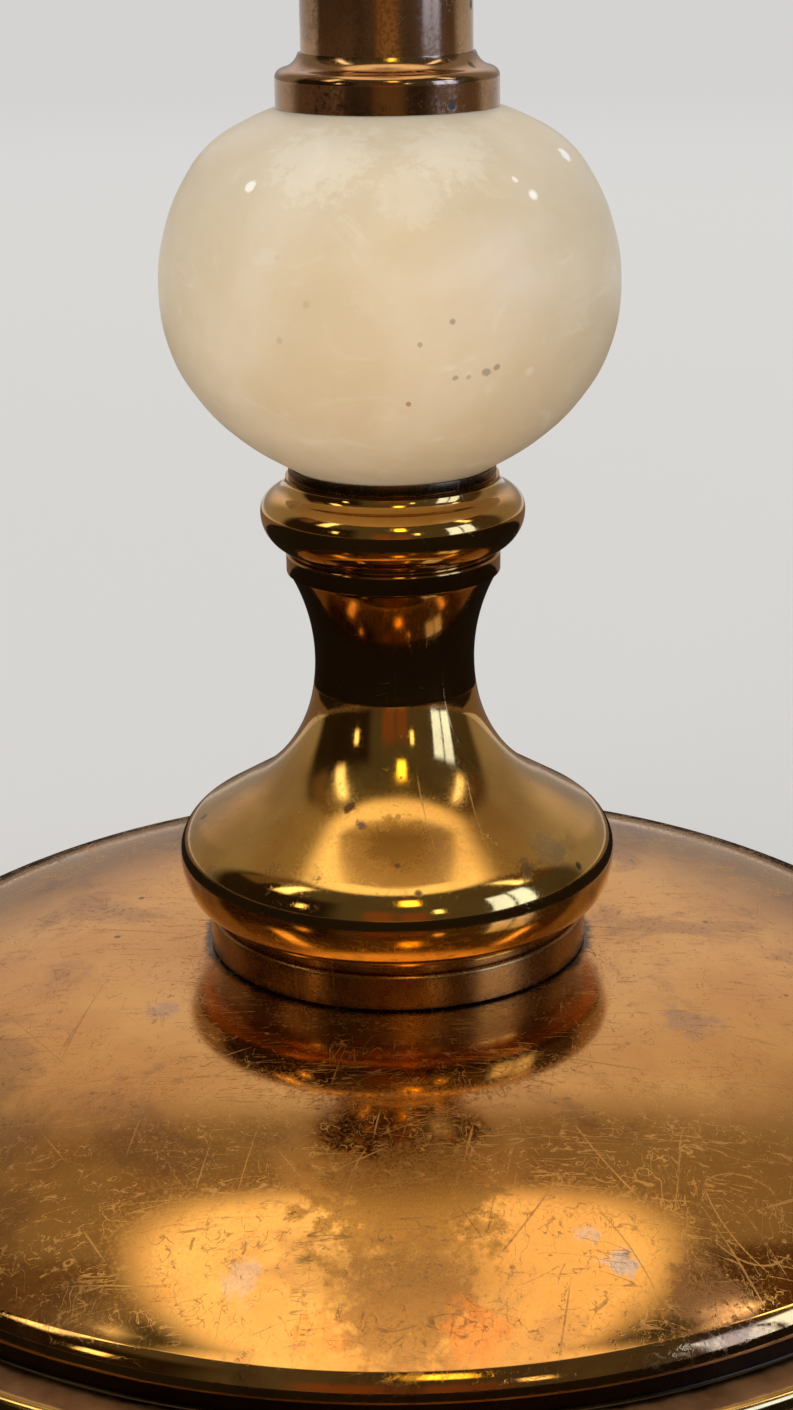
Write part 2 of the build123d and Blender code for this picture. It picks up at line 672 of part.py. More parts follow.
# Glass bowl, which rests on the gasket by its neck
bowl_low = holder_floor + gasket_t
fitter_top = bowl_low + fitter_h
bowl_turn = JernArc((fitter_r, fitter_top), (0, 1), bowl_neck_round, -76)
bowl_belly = JernArc(bowl_turn @ 1, bowl_turn % 1, bowl_round, 56)
bowl_flare = JernArc(bowl_belly @ 1, bowl_belly % 1, bowl_lip_round, -18)
bowl_high = (bowl_flare @ 1).Y
bowl_past = PolarLine(bowl_flare @ 1, overrun, direction=bowl_flare % 1)
below_bowl = bowl_low - overrun
bowl_outline = [
    Line((behind_axis, below_bowl), (fitter_r, below_bowl)),
    Line((fitter_r, below_bowl), (fitter_r, fitter_top)),
    bowl_turn,
    bowl_belly,
    bowl_flare,
    bowl_past,
    Line(bowl_past @ 1, (behind_axis, (bowl_past @ 1).Y)),
    Line((behind_axis, (bowl_past @ 1).Y), (behind_axis, below_bowl)),
]
glass_bowl = spun(bowl_outline, bowl_wall, shell_r, bowl_low, bowl_high)
glass_bowl = fillet(glass_bowl.edges().group_by(Axis.Z)[-1], bowl_rim_round)

nodes = {
    "base_shell": base_shell,
    "base_weight": base_weight,
    "base_felt": base_felt,
    "base_washer": base_washer,
    "base_nut": base_nut,
    "cord_bushing": cord_bushing,
    "foot_ring": foot_ring,
    "bell": bell,
    "neck": neck,
    "neck_bead": neck_bead,
    "ball_seat": ball_seat,
    "ball_washers": ball_washers,
    "alabaster_ball": alabaster_ball,
    "ball_collar": ball_collar,
    "column_tube": column_tube,
    "tube_bushes": tube_bushes,
    "stem_pipe": stem_pipe,
    "top_collar": top_collar,
    "socket_cup": socket_cup,
    "cup_washer": cup_washer,
    "cup_nut": cup_nut,
    "socket_cap": socket_cap,
    "socket_sleeve": socket_sleeve,
    "socket_shell": socket_shell,
    "socket_body": socket_body,
    "socket_screw_shell": socket_screw_shell,
    "socket_contact": socket_contact,
    "terminal_screws": terminal_screws,
    "switch_shaft": switch_shaft,
    "switch_knob": switch_knob,
    "bulb_cap": bulb_cap,
    "bulb_insulator": bulb_insulator,
    "bulb_contact": bulb_contact,
    "bulb_glass": bulb_glass,
    "shade_holder": shade_holder,
    "holder_ring": holder_ring,
    "bowl_gasket": bowl_gasket,
    "glass_bowl": glass_bowl,
}
os.makedirs("parts", exist_ok=True)
for name, shape in nodes.items():
    export_step(shape, f"parts/{name}.step")
print(len(nodes), "nodes, height", round(bowl_high, 2))
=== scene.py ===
import math

import bmesh
import bpy
from mathutils import Matrix, Vector


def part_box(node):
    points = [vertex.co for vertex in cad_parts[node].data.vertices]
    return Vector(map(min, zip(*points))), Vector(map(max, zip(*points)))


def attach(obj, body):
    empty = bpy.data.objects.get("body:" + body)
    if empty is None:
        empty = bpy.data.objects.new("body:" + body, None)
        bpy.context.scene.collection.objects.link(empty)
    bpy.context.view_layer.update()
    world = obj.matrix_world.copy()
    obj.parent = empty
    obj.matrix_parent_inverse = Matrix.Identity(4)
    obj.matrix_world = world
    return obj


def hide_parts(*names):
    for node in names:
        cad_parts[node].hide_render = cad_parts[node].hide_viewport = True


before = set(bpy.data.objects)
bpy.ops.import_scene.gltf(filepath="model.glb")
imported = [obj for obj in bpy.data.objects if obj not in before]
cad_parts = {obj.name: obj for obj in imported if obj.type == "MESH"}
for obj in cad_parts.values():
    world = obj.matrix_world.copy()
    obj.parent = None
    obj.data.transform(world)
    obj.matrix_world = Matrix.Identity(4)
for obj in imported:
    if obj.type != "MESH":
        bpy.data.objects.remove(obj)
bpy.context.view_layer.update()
mm = 0.001
print("frame loaded:", len(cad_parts), "nodes")


# Node tree helpers

def newMaterial(name):
    mat = bpy.data.materials.new(name)
    mat.use_nodes = True
    tree = mat.node_tree
    shader = tree.nodes["Principled BSDF"]
    return mat, tree, shader


def addNode(tree, kind, inputs=None, **settings):
    node = tree.nodes.new(kind)
    for key, value in settings.items():
        setattr(node, key, value)
    for key, value in (inputs or {}).items():
        put(tree, node.inputs[key], value)
    return node


def put(tree, socket, value):
    # a socket takes either a link or a plain value
    if isinstance(value, bpy.types.NodeSocket):
        tree.links.new(value, socket)
    else:
        socket.default_value = value


def objectCoords(tree, scale=(1, 1, 1), turn=(0, 0, 0), shift=(0, 0, 0)):
    coords = addNode(tree, "ShaderNodeTexCoord")
    mapping = addNode(tree, "ShaderNodeMapping", {"Vector": coords.outputs["Object"], "Scale": scale,
                                                  "Rotation": turn, "Location": shift})
    return mapping.outputs["Vector"]


def noise(tree, vector, scale, detail=4.0, rough=0.55, distortion=0.0):
    node = addNode(tree, "ShaderNodeTexNoise", {"Vector": vector, "Scale": scale, "Detail": detail,
                                                "Roughness": rough, "Distortion": distortion})
    return node.outputs["Fac"]


def spread(tree, value, low, high, outLow=0.0, outHigh=1.0, smooth=False):
    node = addNode(tree, "ShaderNodeMapRange", {"Value": value, "From Min": low, "From Max": high,
                                                "To Min": outLow, "To Max": outHigh})
    if smooth:
        node.interpolation_type = "SMOOTHSTEP"
    return node.outputs["Result"]


def calc(tree, operation, a, b=0.0, clamp=False):
    node = addNode(tree, "ShaderNodeMath", {0: a, 1: b}, operation=operation, use_clamp=clamp)
    return node.outputs["Value"]


def mixColor(tree, factor, a, b, blend="MIX"):
    node = addNode(tree, "ShaderNodeMix", data_type="RGBA", blend_type=blend)
    put(tree, node.inputs["Factor"], factor)
    put(tree, node.inputs[6], a)
    put(tree, node.inputs[7], b)
    return node.outputs[2]


def bump(tree, shader, height, distance, strength=1.0):
    node = addNode(tree, "ShaderNodeBump", {"Height": height, "Distance": distance, "Strength": strength})
    tree.links.new(node.outputs["Normal"], shader.inputs["Normal"])
    return node


def rgb(r, g, b):
    return (r, g, b, 1.0)


# Brass with worn lacquer, one function for all its grades

def scratches(tree, turns, fine, length, cut):
    # long thin streaks of noise, one layer for each direction, joined by the largest
    total = None
    for index, turn in enumerate(turns):
        turned = objectCoords(tree, turn=(0, 0, math.radians(turn)), shift=(index * 3.1, index, 0))
        stretched = addNode(tree, "ShaderNodeMapping", {"Vector": turned, "Scale": (length, fine, length)})
        streak = noise(tree, stretched.outputs["Vector"], 1.0, 2.0, 0.5, 0.3)
        streak = spread(tree, streak, cut, cut + 0.06)
        total = streak if total is None else calc(tree, "MAXIMUM", total, streak)
    return total


def hairlines(tree, layer):
    # contour lines of a noise field, broken up into short curved hairs
    field = noise(tree, objectCoords(tree, layer["stretch"], shift=layer["shift"]), layer["scale"], 2.0, 0.5, 0.7)
    off = calc(tree, "ABSOLUTE", calc(tree, "SUBTRACT", field, 0.5))
    line = spread(tree, off, layer["width"], layer["width"] * 0.25)
    keep = noise(tree, objectCoords(tree, shift=layer["shift"]), layer["breakScale"], 3.0, 0.6)
    return calc(tree, "MULTIPLY", line, spread(tree, keep, layer["breakCut"], layer["breakCut"] + 0.06))


def specks(tree, scale, size, share):
    # sparse round dots: small discs in the few cells whose random value is high
    cells = addNode(tree, "ShaderNodeTexVoronoi", {"Vector": objectCoords(tree), "Scale": scale})
    near = spread(tree, cells.outputs["Distance"], size, size * 0.6)
    pick = addNode(tree, "ShaderNodeSeparateColor", {"Color": cells.outputs["Color"]})
    return calc(tree, "MULTIPLY", near, spread(tree, pick.outputs[0], 1 - share, 1 - share + 0.01))


def markMask(tree, coords, ragged, mark):
    # a soft spot with a ragged edge
    place = tuple(c * mm for c in mark["at"])
    away = addNode(tree, "ShaderNodeVectorMath", {0: coords, 1: place}, operation="DISTANCE").outputs["Value"]
    away = calc(tree, "ADD", away, calc(tree, "MULTIPLY", ragged, mark["size"] * mm * 2.2))
    return spread(tree, away, mark["size"] * mm, mark["size"] * mm * 0.5, 0.0, mark["amount"], True)


def circleThrough(a, b, c):
    # centre of the circle through three (radius, height) points, and the signed angle from a to c
    ax, ay, bx, by, cx, cy = *a, *b, *c
    d = 2 * (ax * (by - cy) + bx * (cy - ay) + cx * (ay - by))
    ux = ((ax**2 + ay**2) * (by - cy) + (bx**2 + by**2) * (cy - ay) + (cx**2 + cy**2) * (ay - by)) / d
    uy = ((ax**2 + ay**2) * (cx - bx) + (bx**2 + by**2) * (ax - cx) + (cx**2 + cy**2) * (bx - ax)) / d
    first = math.atan2(ay - uy, ax - ux)
    last = math.atan2(cy - uy, cx - ux)
    turn = (last - first) % (2 * math.pi)
    middle = (math.atan2(by - uy, bx - ux) - first) % (2 * math.pi)
    return (ux, uy), turn if middle < turn else turn - 2 * math.pi


def cutMask(tree, flat, cut):
    # a thin arc scratched through three points of the plan
    path = [tuple(c * mm for c in point) for point in cut["path"]]
    middle, _ = circleThrough(*path)
    reach = math.dist(middle, path[0])
    away = addNode(tree, "ShaderNodeVectorMath", {0: flat, 1: (*middle, 0)}, operation="DISTANCE").outputs["Value"]
    off = calc(tree, "ABSOLUTE", calc(tree, "SUBTRACT", away, reach))
    line = spread(tree, off, cut["width"] * mm, cut["width"] * mm * 0.3)
    chord = Vector(path[2]) - Vector(path[0])
    start = addNode(tree, "ShaderNodeVectorMath", {0: flat, 1: (*path[0], 0)}, operation="SUBTRACT").outputs["Vector"]
    run = addNode(tree, "ShaderNodeVectorMath", {0: start, 1: (*(chord / chord.length_squared), 0)},
                  operation="DOT_PRODUCT").outputs["Value"]
    ends = calc(tree, "MULTIPLY", spread(tree, run, 0.0, 0.1), spread(tree, run, 1.0, 0.85))
    return calc(tree, "MULTIPLY", line, calc(tree, "MULTIPLY", ends, cut["depth"]))


def brass(name, look):
    mat, tree, shader = newMaterial(name)
    coords = objectCoords(tree)
    cloud = noise(tree, coords, look["cloudScale"], 5.0, 0.6)
    base = mixColor(tree, spread(tree, cloud, 0.35, 0.68, smooth=True), look["tone"], look["toneDeep"])
    blotch = noise(tree, objectCoords(tree, shift=(4.0, 2.0, 1.0)), look["patchScale"], 6.0, 0.62, 0.4)
    patch = spread(tree, blotch, look["patchCut"], look["patchCut"] + 0.12, smooth=True)
    base = mixColor(tree, calc(tree, "MULTIPLY", patch, look["patchAmount"]), base, look["patchTone"])
    dirt = specks(tree, look["speckScale"], 0.3, look["speckShare"])
    grit = spread(tree, noise(tree, coords, look["gritScale"], 4.0, 0.7), 0.56, 0.70)
    worn = calc(tree, "MAXIMUM", dirt, calc(tree, "MULTIPLY", grit, calc(tree, "MULTIPLY", patch, look["grit"])))
    base = mixColor(tree, calc(tree, "MULTIPLY", worn, look["speckAmount"]), base, look["speckTone"])
    ragged = calc(tree, "SUBTRACT", noise(tree, coords, look["raggedScale"], 5.0, 0.65), 0.5)
    stainAndReflectionMarks = 0.0
    # marks: stains and patina, and a few painted reflections listed in domeMarks and bellMarks
    for mark in look["marks"]:
        mask = markMask(tree, coords, ragged, mark)
        base = mixColor(tree, mask, base, mark["tone"])
        stainAndReflectionMarks = calc(tree, "MAXIMUM", stainAndReflectionMarks, mask)
    flat = addNode(tree, "ShaderNodeVectorMath", {0: coords, 1: (1, 1, 0)}, operation="MULTIPLY").outputs["Vector"]
    # near-black in a narrow band round the foot, rougher further out, smoother towards the crest
    if "footBand" in look:
        reach = addNode(tree, "ShaderNodeVectorMath", {0: flat}, operation="LENGTH").outputs["Value"]
        reach = calc(tree, "ADD", reach, calc(tree, "MULTIPLY", ragged, 4 * mm))
        black, dull = look["footBand"]["black"], look["footBand"]["dull"]
        base = mixColor(tree, spread(tree, reach, black[1] * mm, black[0] * mm, smooth=True), base, look["speckTone"])
        stainAndReflectionMarks = calc(tree, "MAXIMUM", stainAndReflectionMarks, spread(tree, reach, dull[1] * mm, dull[0] * mm, 0, 0.45, True))
        start, end, kept = look["polish"]
        polish = spread(tree, reach, start * mm, end * mm, 1, kept, True)
    lines = scratches(tree, look["scratchTurns"], look["scratchFine"], look["scratchLength"], look["scratchCut"])
    for layer in look["hairs"]:
        lines = calc(tree, "MAXIMUM", lines, hairlines(tree, layer))
    for cut in look["cuts"]:
        lines = calc(tree, "MAXIMUM", lines, cutMask(tree, flat, cut))
    base = mixColor(tree, calc(tree, "MULTIPLY", lines, look["scratchTint"]), base, look["scratchTone"])
    put(tree, shader.inputs["Base Color"], base)
    shader.inputs["Metallic"].default_value = 1.0
    haze = spread(tree, noise(tree, coords, look["hazeScale"], 5.0, 0.65), 0.3, 0.75, *look["rough"])
    fine = spread(tree, noise(tree, coords, look["fineScale"], 3.0, 0.6), 0.45, 0.62, 0, look["fine"])
    haze = calc(tree, "ADD", haze, fine)
    if look.get("satin"):
        low, high = look["satin"]["span"]
        height = addNode(tree, "ShaderNodeSeparateXYZ", {"Vector": coords}).outputs["Z"]
        belt = calc(tree, "MULTIPLY", spread(tree, height, low * mm, (low + 3) * mm, smooth=True),
                    spread(tree, height, high * mm, (high - 5) * mm, smooth=True))
        haze = calc(tree, "ADD", haze, calc(tree, "MULTIPLY", belt, look["satin"]["rough"]))
    haze = calc(tree, "ADD", haze, calc(tree, "MULTIPLY", calc(tree, "MAXIMUM", worn, stainAndReflectionMarks), 0.2))
    # a scratch scatters: pale on a dark reflection, dark on a bright one
    haze = calc(tree, "ADD", haze, calc(tree, "MULTIPLY", lines, look["scratchRough"]))
    if "footBand" in look:
        haze = calc(tree, "MULTIPLY", haze, polish)
    put(tree, shader.inputs["Roughness"], haze)
    relief = calc(tree, "MULTIPLY", noise(tree, coords, look["waveScale"], 2.0), look["wave"])
    bump(tree, shader, calc(tree, "SUBTRACT", relief, worn), look["bumpDepth"], look["bumpStrength"])
    return mat


shortHairs = {"scale": 300.0, "stretch": (1, 1, 1), "shift": (0.3, 0.7, 0.1), "width": 0.016,
              "breakScale": 190.0, "breakCut": 0.465}
wipeHairs = {"scale": 170.0, "stretch": (0.35, 2.4, 1), "shift": (1.3, 0.2, 0.6), "width": 0.020,
             "breakScale": 90.0, "breakCut": 0.49}
crossHairs = {"scale": 120.0, "stretch": (1.8, 0.5, 1), "shift": (2.3, 1.2, 0.4), "width": 0.008,
              "breakScale": 70.0, "breakCut": 0.53}
lilac = rgb(0.50, 0.39, 0.37)
rust = rgb(0.24, 0.105, 0.045)
domeMarks = (
    {"at": (36.2, -106.4, 31.1), "size": 3.6, "tone": lilac, "amount": 0.8},
    {"at": (30.9, -102.1, 33.8), "size": 3.0, "tone": lilac, "amount": 0.5},
    {"at": (-26.2, -109.7, 30.9), "size": 4.5, "tone": lilac, "amount": 0.4},
    {"at": (50.5, -110.5, 26.0), "size": 10.0, "tone": rust, "amount": 0.7},
    {"at": (-55.0, -108.5, 25.5), "size": 8.0, "tone": rust, "amount": 0.5},
    {"at": (10.0, -114.0, 29.7), "size": 4.0, "tone": rust, "amount": 0.5},
    {"at": (55.2, -41.3, 44.4), "size": 7.0, "tone": rgb(0.33, 0.22, 0.15), "amount": 0.45},
    {"at": (-45.0, -35.6, 45.4), "size": 4.5, "tone": rgb(0.40, 0.27, 0.22), "amount": 0.45},
    # painted reflection: the next two dark brown patches at the front are not stains; they darken the dome where it
    # mirrors the dark stem
    {"at": (0.0, -98.0, 37.0), "size": 21.0, "tone": rgb(0.35, 0.17, 0.04), "amount": 0.85},
    {"at": (0.0, -116.0, 28.5), "size": 16.0, "tone": rgb(0.34, 0.16, 0.05), "amount": 0.8},
    {"at": (12.0, -120.0, 26.8), "size": 7.0, "tone": rgb(0.72, 0.24, 0.06), "amount": 0.55},
    {"at": (-14.0, -120.0, 26.4), "size": 6.0, "tone": rgb(0.72, 0.26, 0.06), "amount": 0.45},
)
domeCuts = (
    {"path": ((15.9, -107.7), (22.7, -98.3), (26.6, -91.6)), "width": 0.26, "depth": 1.0},
    {"path": ((33.1, -97.2), (38.4, -104.2), (42.5, -111.8)), "width": 0.20, "depth": 0.9},
    {"path": ((30.5, -77.0), (34.5, -85.4), (40.8, -94.2)), "width": 0.28, "depth": 0.8},
    {"path": ((65.7, -89.0), (58.2, -85.6), (52.2, -88.9)), "width": 0.24, "depth": 0.8},
    {"path": ((52.2, -88.9), (54.0, -95.0), (62.9, -103.7)), "width": 0.26, "depth": 0.8},
    {"path": ((-78.1, -27.4), (-68.0, -43.8), (-60.9, -54.7)), "width": 0.24, "depth": 0.8},
    {"path": ((4.6, -102.1), (10.2, -100.2), (15.0, -97.0)), "width": 0.18, "depth": 0.7},
    {"path": ((-26.8, -106.0), (-26.3, -104.7), (-26.2, -103.4)), "width": 0.40, "depth": 1.0},
    {"path": ((40.3, -113.1), (39.8, -115.2), (38.6, -117.2)), "width": 0.20, "depth": 0.8},
    {"path": ((18.3, -112.6), (22.8, -110.6), (26.9, -107.8)), "width": 0.18, "depth": 0.7},
    {"path": ((-8.0, -95.1), (-4.3, -94.0), (-0.7, -94.0)), "width": 0.20, "depth": 0.7},
    {"path": ((-9.7, -95.4), (-8.2, -89.9), (-5.9, -84.5)), "width": 0.18, "depth": 0.7},
)
domeLook = {
    "tone": rgb(0.70, 0.37, 0.105), "toneDeep": rgb(0.58, 0.275, 0.075), "cloudScale": 26.0,
    "patchTone": rgb(0.36, 0.175, 0.07), "patchScale": 34.0, "patchCut": 0.50, "patchAmount": 0.6,
    "speckTone": rgb(0.10, 0.065, 0.04), "speckScale": 330.0, "speckShare": 0.02, "speckAmount": 0.7,
    "grit": 0.9, "gritScale": 700.0, "raggedScale": 300.0, "marks": domeMarks, "cuts": domeCuts,
    "footBand": {"black": (38.6, 40.4), "dull": (42.0, 60.0)}, "polish": (119.0, 124.5, 0.45),
    "scratchTurns": (12, 58, 101, 149), "scratchFine": 900.0, "scratchLength": 30.0, "scratchCut": 0.70,
    "scratchTone": rgb(0.56, 0.33, 0.16), "scratchTint": 0.22, "scratchRough": 0.32,
    "hairs": (shortHairs, wipeHairs, crossHairs),
    "hazeScale": 30.0, "rough": (0.05, 0.12), "fineScale": 1500.0, "fine": 0.11, "wave": 0.6, "waveScale": 60.0,
    "bumpDepth": 0.00006, "bumpStrength": 0.25,
}
bellMarks = (
    {"at": (-9.0, -23.4, 82.0), "size": 1.5, "tone": rgb(0.10, 0.035, 0.02), "amount": 0.9},
    {"at": (-7.0, -26.9, 79.7), "size": 1.4, "tone": rgb(0.17, 0.10, 0.08), "amount": 0.85},
    {"at": (0.3, -26.2, 80.9), "size": 0.9, "tone": rgb(0.28, 0.15, 0.07), "amount": 0.6},
    {"at": (29.0, -24.5, 73.5), "size": 5.0, "tone": rgb(0.32, 0.24, 0.15), "amount": 0.45},
    {"at": (24.5, -32.0, 72.0), "size": 2.8, "tone": rgb(0.14, 0.08, 0.035), "amount": 0.75},
    {"at": (-23.3, -31.4, 72.7), "size": 2.2, "tone": rgb(0.30, 0.17, 0.07), "amount": 0.5},
    {"at": (-36.5, -23.5, 66.1), "size": 4.5, "tone": rgb(0.25, 0.17, 0.08), "amount": 0.45},
    # painted reflection: this dark brown patch at the front of the shoulder stands for the stem mirrored in it
    {"at": (0.0, -31.0, 76.6), "size": 7.5, "tone": rgb(0.34, 0.165, 0.03), "amount": 0.75},
    {"at": (0.1, -35.8, 74.7), "size": 0.7, "tone": rgb(0.16, 0.08, 0.03), "amount": 0.7},
)
bellLook = {
    "tone": rgb(0.70, 0.40, 0.105), "toneDeep": rgb(0.55, 0.29, 0.075), "cloudScale": 40.0,
    "patchTone": rgb(0.40, 0.225, 0.08), "patchScale": 60.0, "patchCut": 0.55, "patchAmount": 0.5,
    "speckTone": rgb(0.05, 0.04, 0.035), "speckScale": 260.0, "speckShare": 0.02, "speckAmount": 0.8,
    "grit": 0.6, "gritScale": 900.0, "raggedScale": 500.0, "marks": bellMarks, "cuts": (),
    "scratchTurns": (20, 75, 130), "scratchFine": 1100.0, "scratchLength": 30.0, "scratchCut": 0.72,
    "scratchTone": rgb(0.62, 0.42, 0.18), "scratchTint": 0.15, "scratchRough": 0.2,
    "hairs": (dict(shortHairs, scale=220.0, breakCut=0.58),),
    "hazeScale": 45.0, "rough": (0.035, 0.09), "fineScale": 1800.0, "fine": 0.07,
    "satin": {"span": (69.5, 90.0), "rough": 0.07}, "wave": 0.7, "waveScale": 60.0,
    "bumpDepth": 0.00005, "bumpStrength": 0.25,
}
footLook = dict(bellLook, tone=rgb(0.42, 0.20, 0.055), toneDeep=rgb(0.30, 0.14, 0.04), marks=(), rough=(0.18, 0.30),
                patchAmount=0.7, satin=None)
neckLook = dict(bellLook, tone=rgb(0.50, 0.265, 0.07), toneDeep=rgb(0.37, 0.185, 0.05), marks=(), patchAmount=0.6)
seatLook = dict(footLook, tone=rgb(0.23, 0.135, 0.06), toneDeep=rgb(0.15, 0.085, 0.04))
tubeLook = {
    "tone": rgb(0.46, 0.27, 0.13), "toneDeep": rgb(0.36, 0.19, 0.09), "cloudScale": 30.0,
    "patchTone": rgb(0.26, 0.14, 0.08), "patchScale": 50.0, "patchCut": 0.54, "patchAmount": 0.55,
    "speckTone": rgb(0.06, 0.04, 0.03), "speckScale": 260.0, "speckShare": 0.03, "speckAmount": 0.8,
    "grit": 0.7, "gritScale": 900.0, "raggedScale": 500.0, "marks": (), "cuts": (),
    "scratchTurns": (0, 40), "scratchFine": 900.0, "scratchLength": 24.0, "scratchCut": 0.70,
    "scratchTone": rgb(0.58, 0.40, 0.22), "scratchTint": 0.2, "scratchRough": 0.2,
    "hairs": (dict(shortHairs, scale=220.0, breakCut=0.56),),
    "hazeScale": 40.0, "rough": (0.09, 0.18), "fineScale": 1500.0, "fine": 0.08, "wave": 0.6, "waveScale": 60.0,
    "bumpDepth": 0.00005, "bumpStrength": 0.25,
}


# The step and flange under the crest: near-black painted shade in the corner, dull across, polished along the edge

rimLook = {
    # corner: near-black painted shade over the step's wall and inner corner
    "corner": rgb(0.035, 0.022, 0.012), "dull": rgb(0.36, 0.21, 0.12), "dullDeep": rgb(0.22, 0.12, 0.065),
    "edge": rgb(0.66, 0.40, 0.13), "cornerEnd": (127.6, 129.6), "edgeStart": (133.9, 134.8),
    "rough": (0.22, 0.42, 0.13), "skirt": (11.5, 13.4), "skirtRough": 0.55,
    "spotTone": rgb(0.55, 0.46, 0.38), "spotScale": 300.0, "spotShare": 0.03, "dullScale": 130.0,
    "grainScale": 240.0, "waver": 1.6,
}


def rimBrass(name, look):
    mat, tree, shader = newMaterial(name)
    coords = objectCoords(tree)
    flat = addNode(tree, "ShaderNodeVectorMath", {0: coords, 1: (1, 1, 0)}, operation="MULTIPLY").outputs["Vector"]
    reach = addNode(tree, "ShaderNodeVectorMath", {0: flat}, operation="LENGTH").outputs["Value"]
    grain = noise(tree, coords, look["grainScale"], 6.0, 0.65)
    reach = calc(tree, "ADD", reach, calc(tree, "MULTIPLY", calc(tree, "SUBTRACT", grain, 0.5), look["waver"] * mm))
    blotch = spread(tree, noise(tree, coords, look["dullScale"], 6.0, 0.6), 0.38, 0.66)
    dull = mixColor(tree, blotch, look["dull"], look["dullDeep"])
    dull = mixColor(tree, specks(tree, look["spotScale"], 0.3, look["spotShare"]), dull, look["spotTone"])
    # painted shade: near-black in the corner out to cornerEnd, then dull brass, then the polished edge
    out = spread(tree, reach, look["cornerEnd"][0] * mm, look["cornerEnd"][1] * mm, smooth=True)
    over = spread(tree, reach, look["edgeStart"][0] * mm, look["edgeStart"][1] * mm, smooth=True)
    base = mixColor(tree, over, mixColor(tree, out, look["corner"], dull), look["edge"])
    put(tree, shader.inputs["Base Color"], base)
    shader.inputs["Metallic"].default_value = 1.0
    rough = spread(tree, out, 0, 1, look["rough"][0], look["rough"][1])
    rough = calc(tree, "ADD", rough, calc(tree, "MULTIPLY", over, look["rough"][2] - look["rough"][1]))
    height = addNode(tree, "ShaderNodeSeparateXYZ", {"Vector": coords}).outputs["Z"]
    low, high = look["skirt"]
    rough = calc(tree, "MAXIMUM", rough, spread(tree, height, high * mm, low * mm, 0, look["skirtRough"], True))
    put(tree, shader.inputs["Roughness"], calc(tree, "ADD", rough, spread(tree, grain, 0.4, 0.7, 0, 0.1)))
    bump(tree, shader, grain, 0.00005, 0.3)
    return mat


# Polished stone, with cloudy patches, pits, a few pale flecks, and painted highlights near the top

alabasterLook = {
    "tone": rgb(0.60, 0.50, 0.345), "tonePale": rgb(0.655, 0.57, 0.44), "cloud": rgb(0.76, 0.71, 0.62),
    "pit": rgb(0.30, 0.22, 0.14), "fleck": rgb(0.95, 0.93, 0.88), "rough": (0.28, 0.42),
    "cloudScale": 28.0, "wispScale": 55.0, "wispAmount": 0.35, "fleckScale": 120.0, "fleckShare": 0.02,
    "pitScale": 210.0, "pitShare": 0.012, "raggedScale": 420.0, "roughScale": 90.0, "reliefScale": 140.0,
    "inside": 0.65, "insideRadius": (1.0, 0.75, 0.45), "insideDepth": 0.008, "index": 1.52, "gloss": 0.35,
    "marks": (
        {"at": (10.7, -42.2, 178.5), "size": 0.6, "tone": rgb(0.24, 0.20, 0.15), "amount": 0.6},
        {"at": (5.1, -43.0, 174.7), "size": 0.55, "tone": rgb(0.26, 0.21, 0.15), "amount": 0.55},
        {"at": (11.2, -40.6, 168.3), "size": 0.6, "tone": rgb(0.24, 0.20, 0.15), "amount": 0.55},
        {"at": (13.6, -39.9, 168.3), "size": 0.55, "tone": rgb(0.30, 0.25, 0.18), "amount": 0.5},
        {"at": (16.8, -38.8, 168.8), "size": 0.9, "tone": rgb(0.24, 0.20, 0.15), "amount": 0.6},
        {"at": (18.6, -38.2, 169.8), "size": 0.75, "tone": rgb(0.22, 0.19, 0.15), "amount": 0.6},
        {"at": (3.0, -40.3, 163.7), "size": 0.6, "tone": rgb(0.34, 0.20, 0.12), "amount": 0.8},
        {"at": (-24.3, -28.1, 200.1), "size": 1.3, "tone": rgb(0.92, 0.89, 0.83), "amount": 0.9},
        {"at": (22.1, -29.1, 200.9), "size": 0.7, "tone": rgb(0.92, 0.90, 0.85), "amount": 0.8},
        # painted highlight: a small bright white spot near the top right of the ball
        {"at": (31.8, -13.4, 203.4), "size": 1.8, "tone": rgb(0.96, 0.95, 0.92), "amount": 0.9},
        # pale cloud patches at the top of the ball, partly painted soft highlights where the ceiling lights reflect
        {"at": (-12.0, -30.5, 205.0), "size": 11.0, "tone": rgb(0.80, 0.76, 0.68), "amount": 0.30},
        {"at": (10.7, -29.2, 206.1), "size": 9.0, "tone": rgb(0.80, 0.76, 0.68), "amount": 0.28},
        {"at": (4.0, -37.0, 199.5), "size": 7.0, "tone": rgb(0.78, 0.74, 0.66), "amount": 0.22},
    ),
}


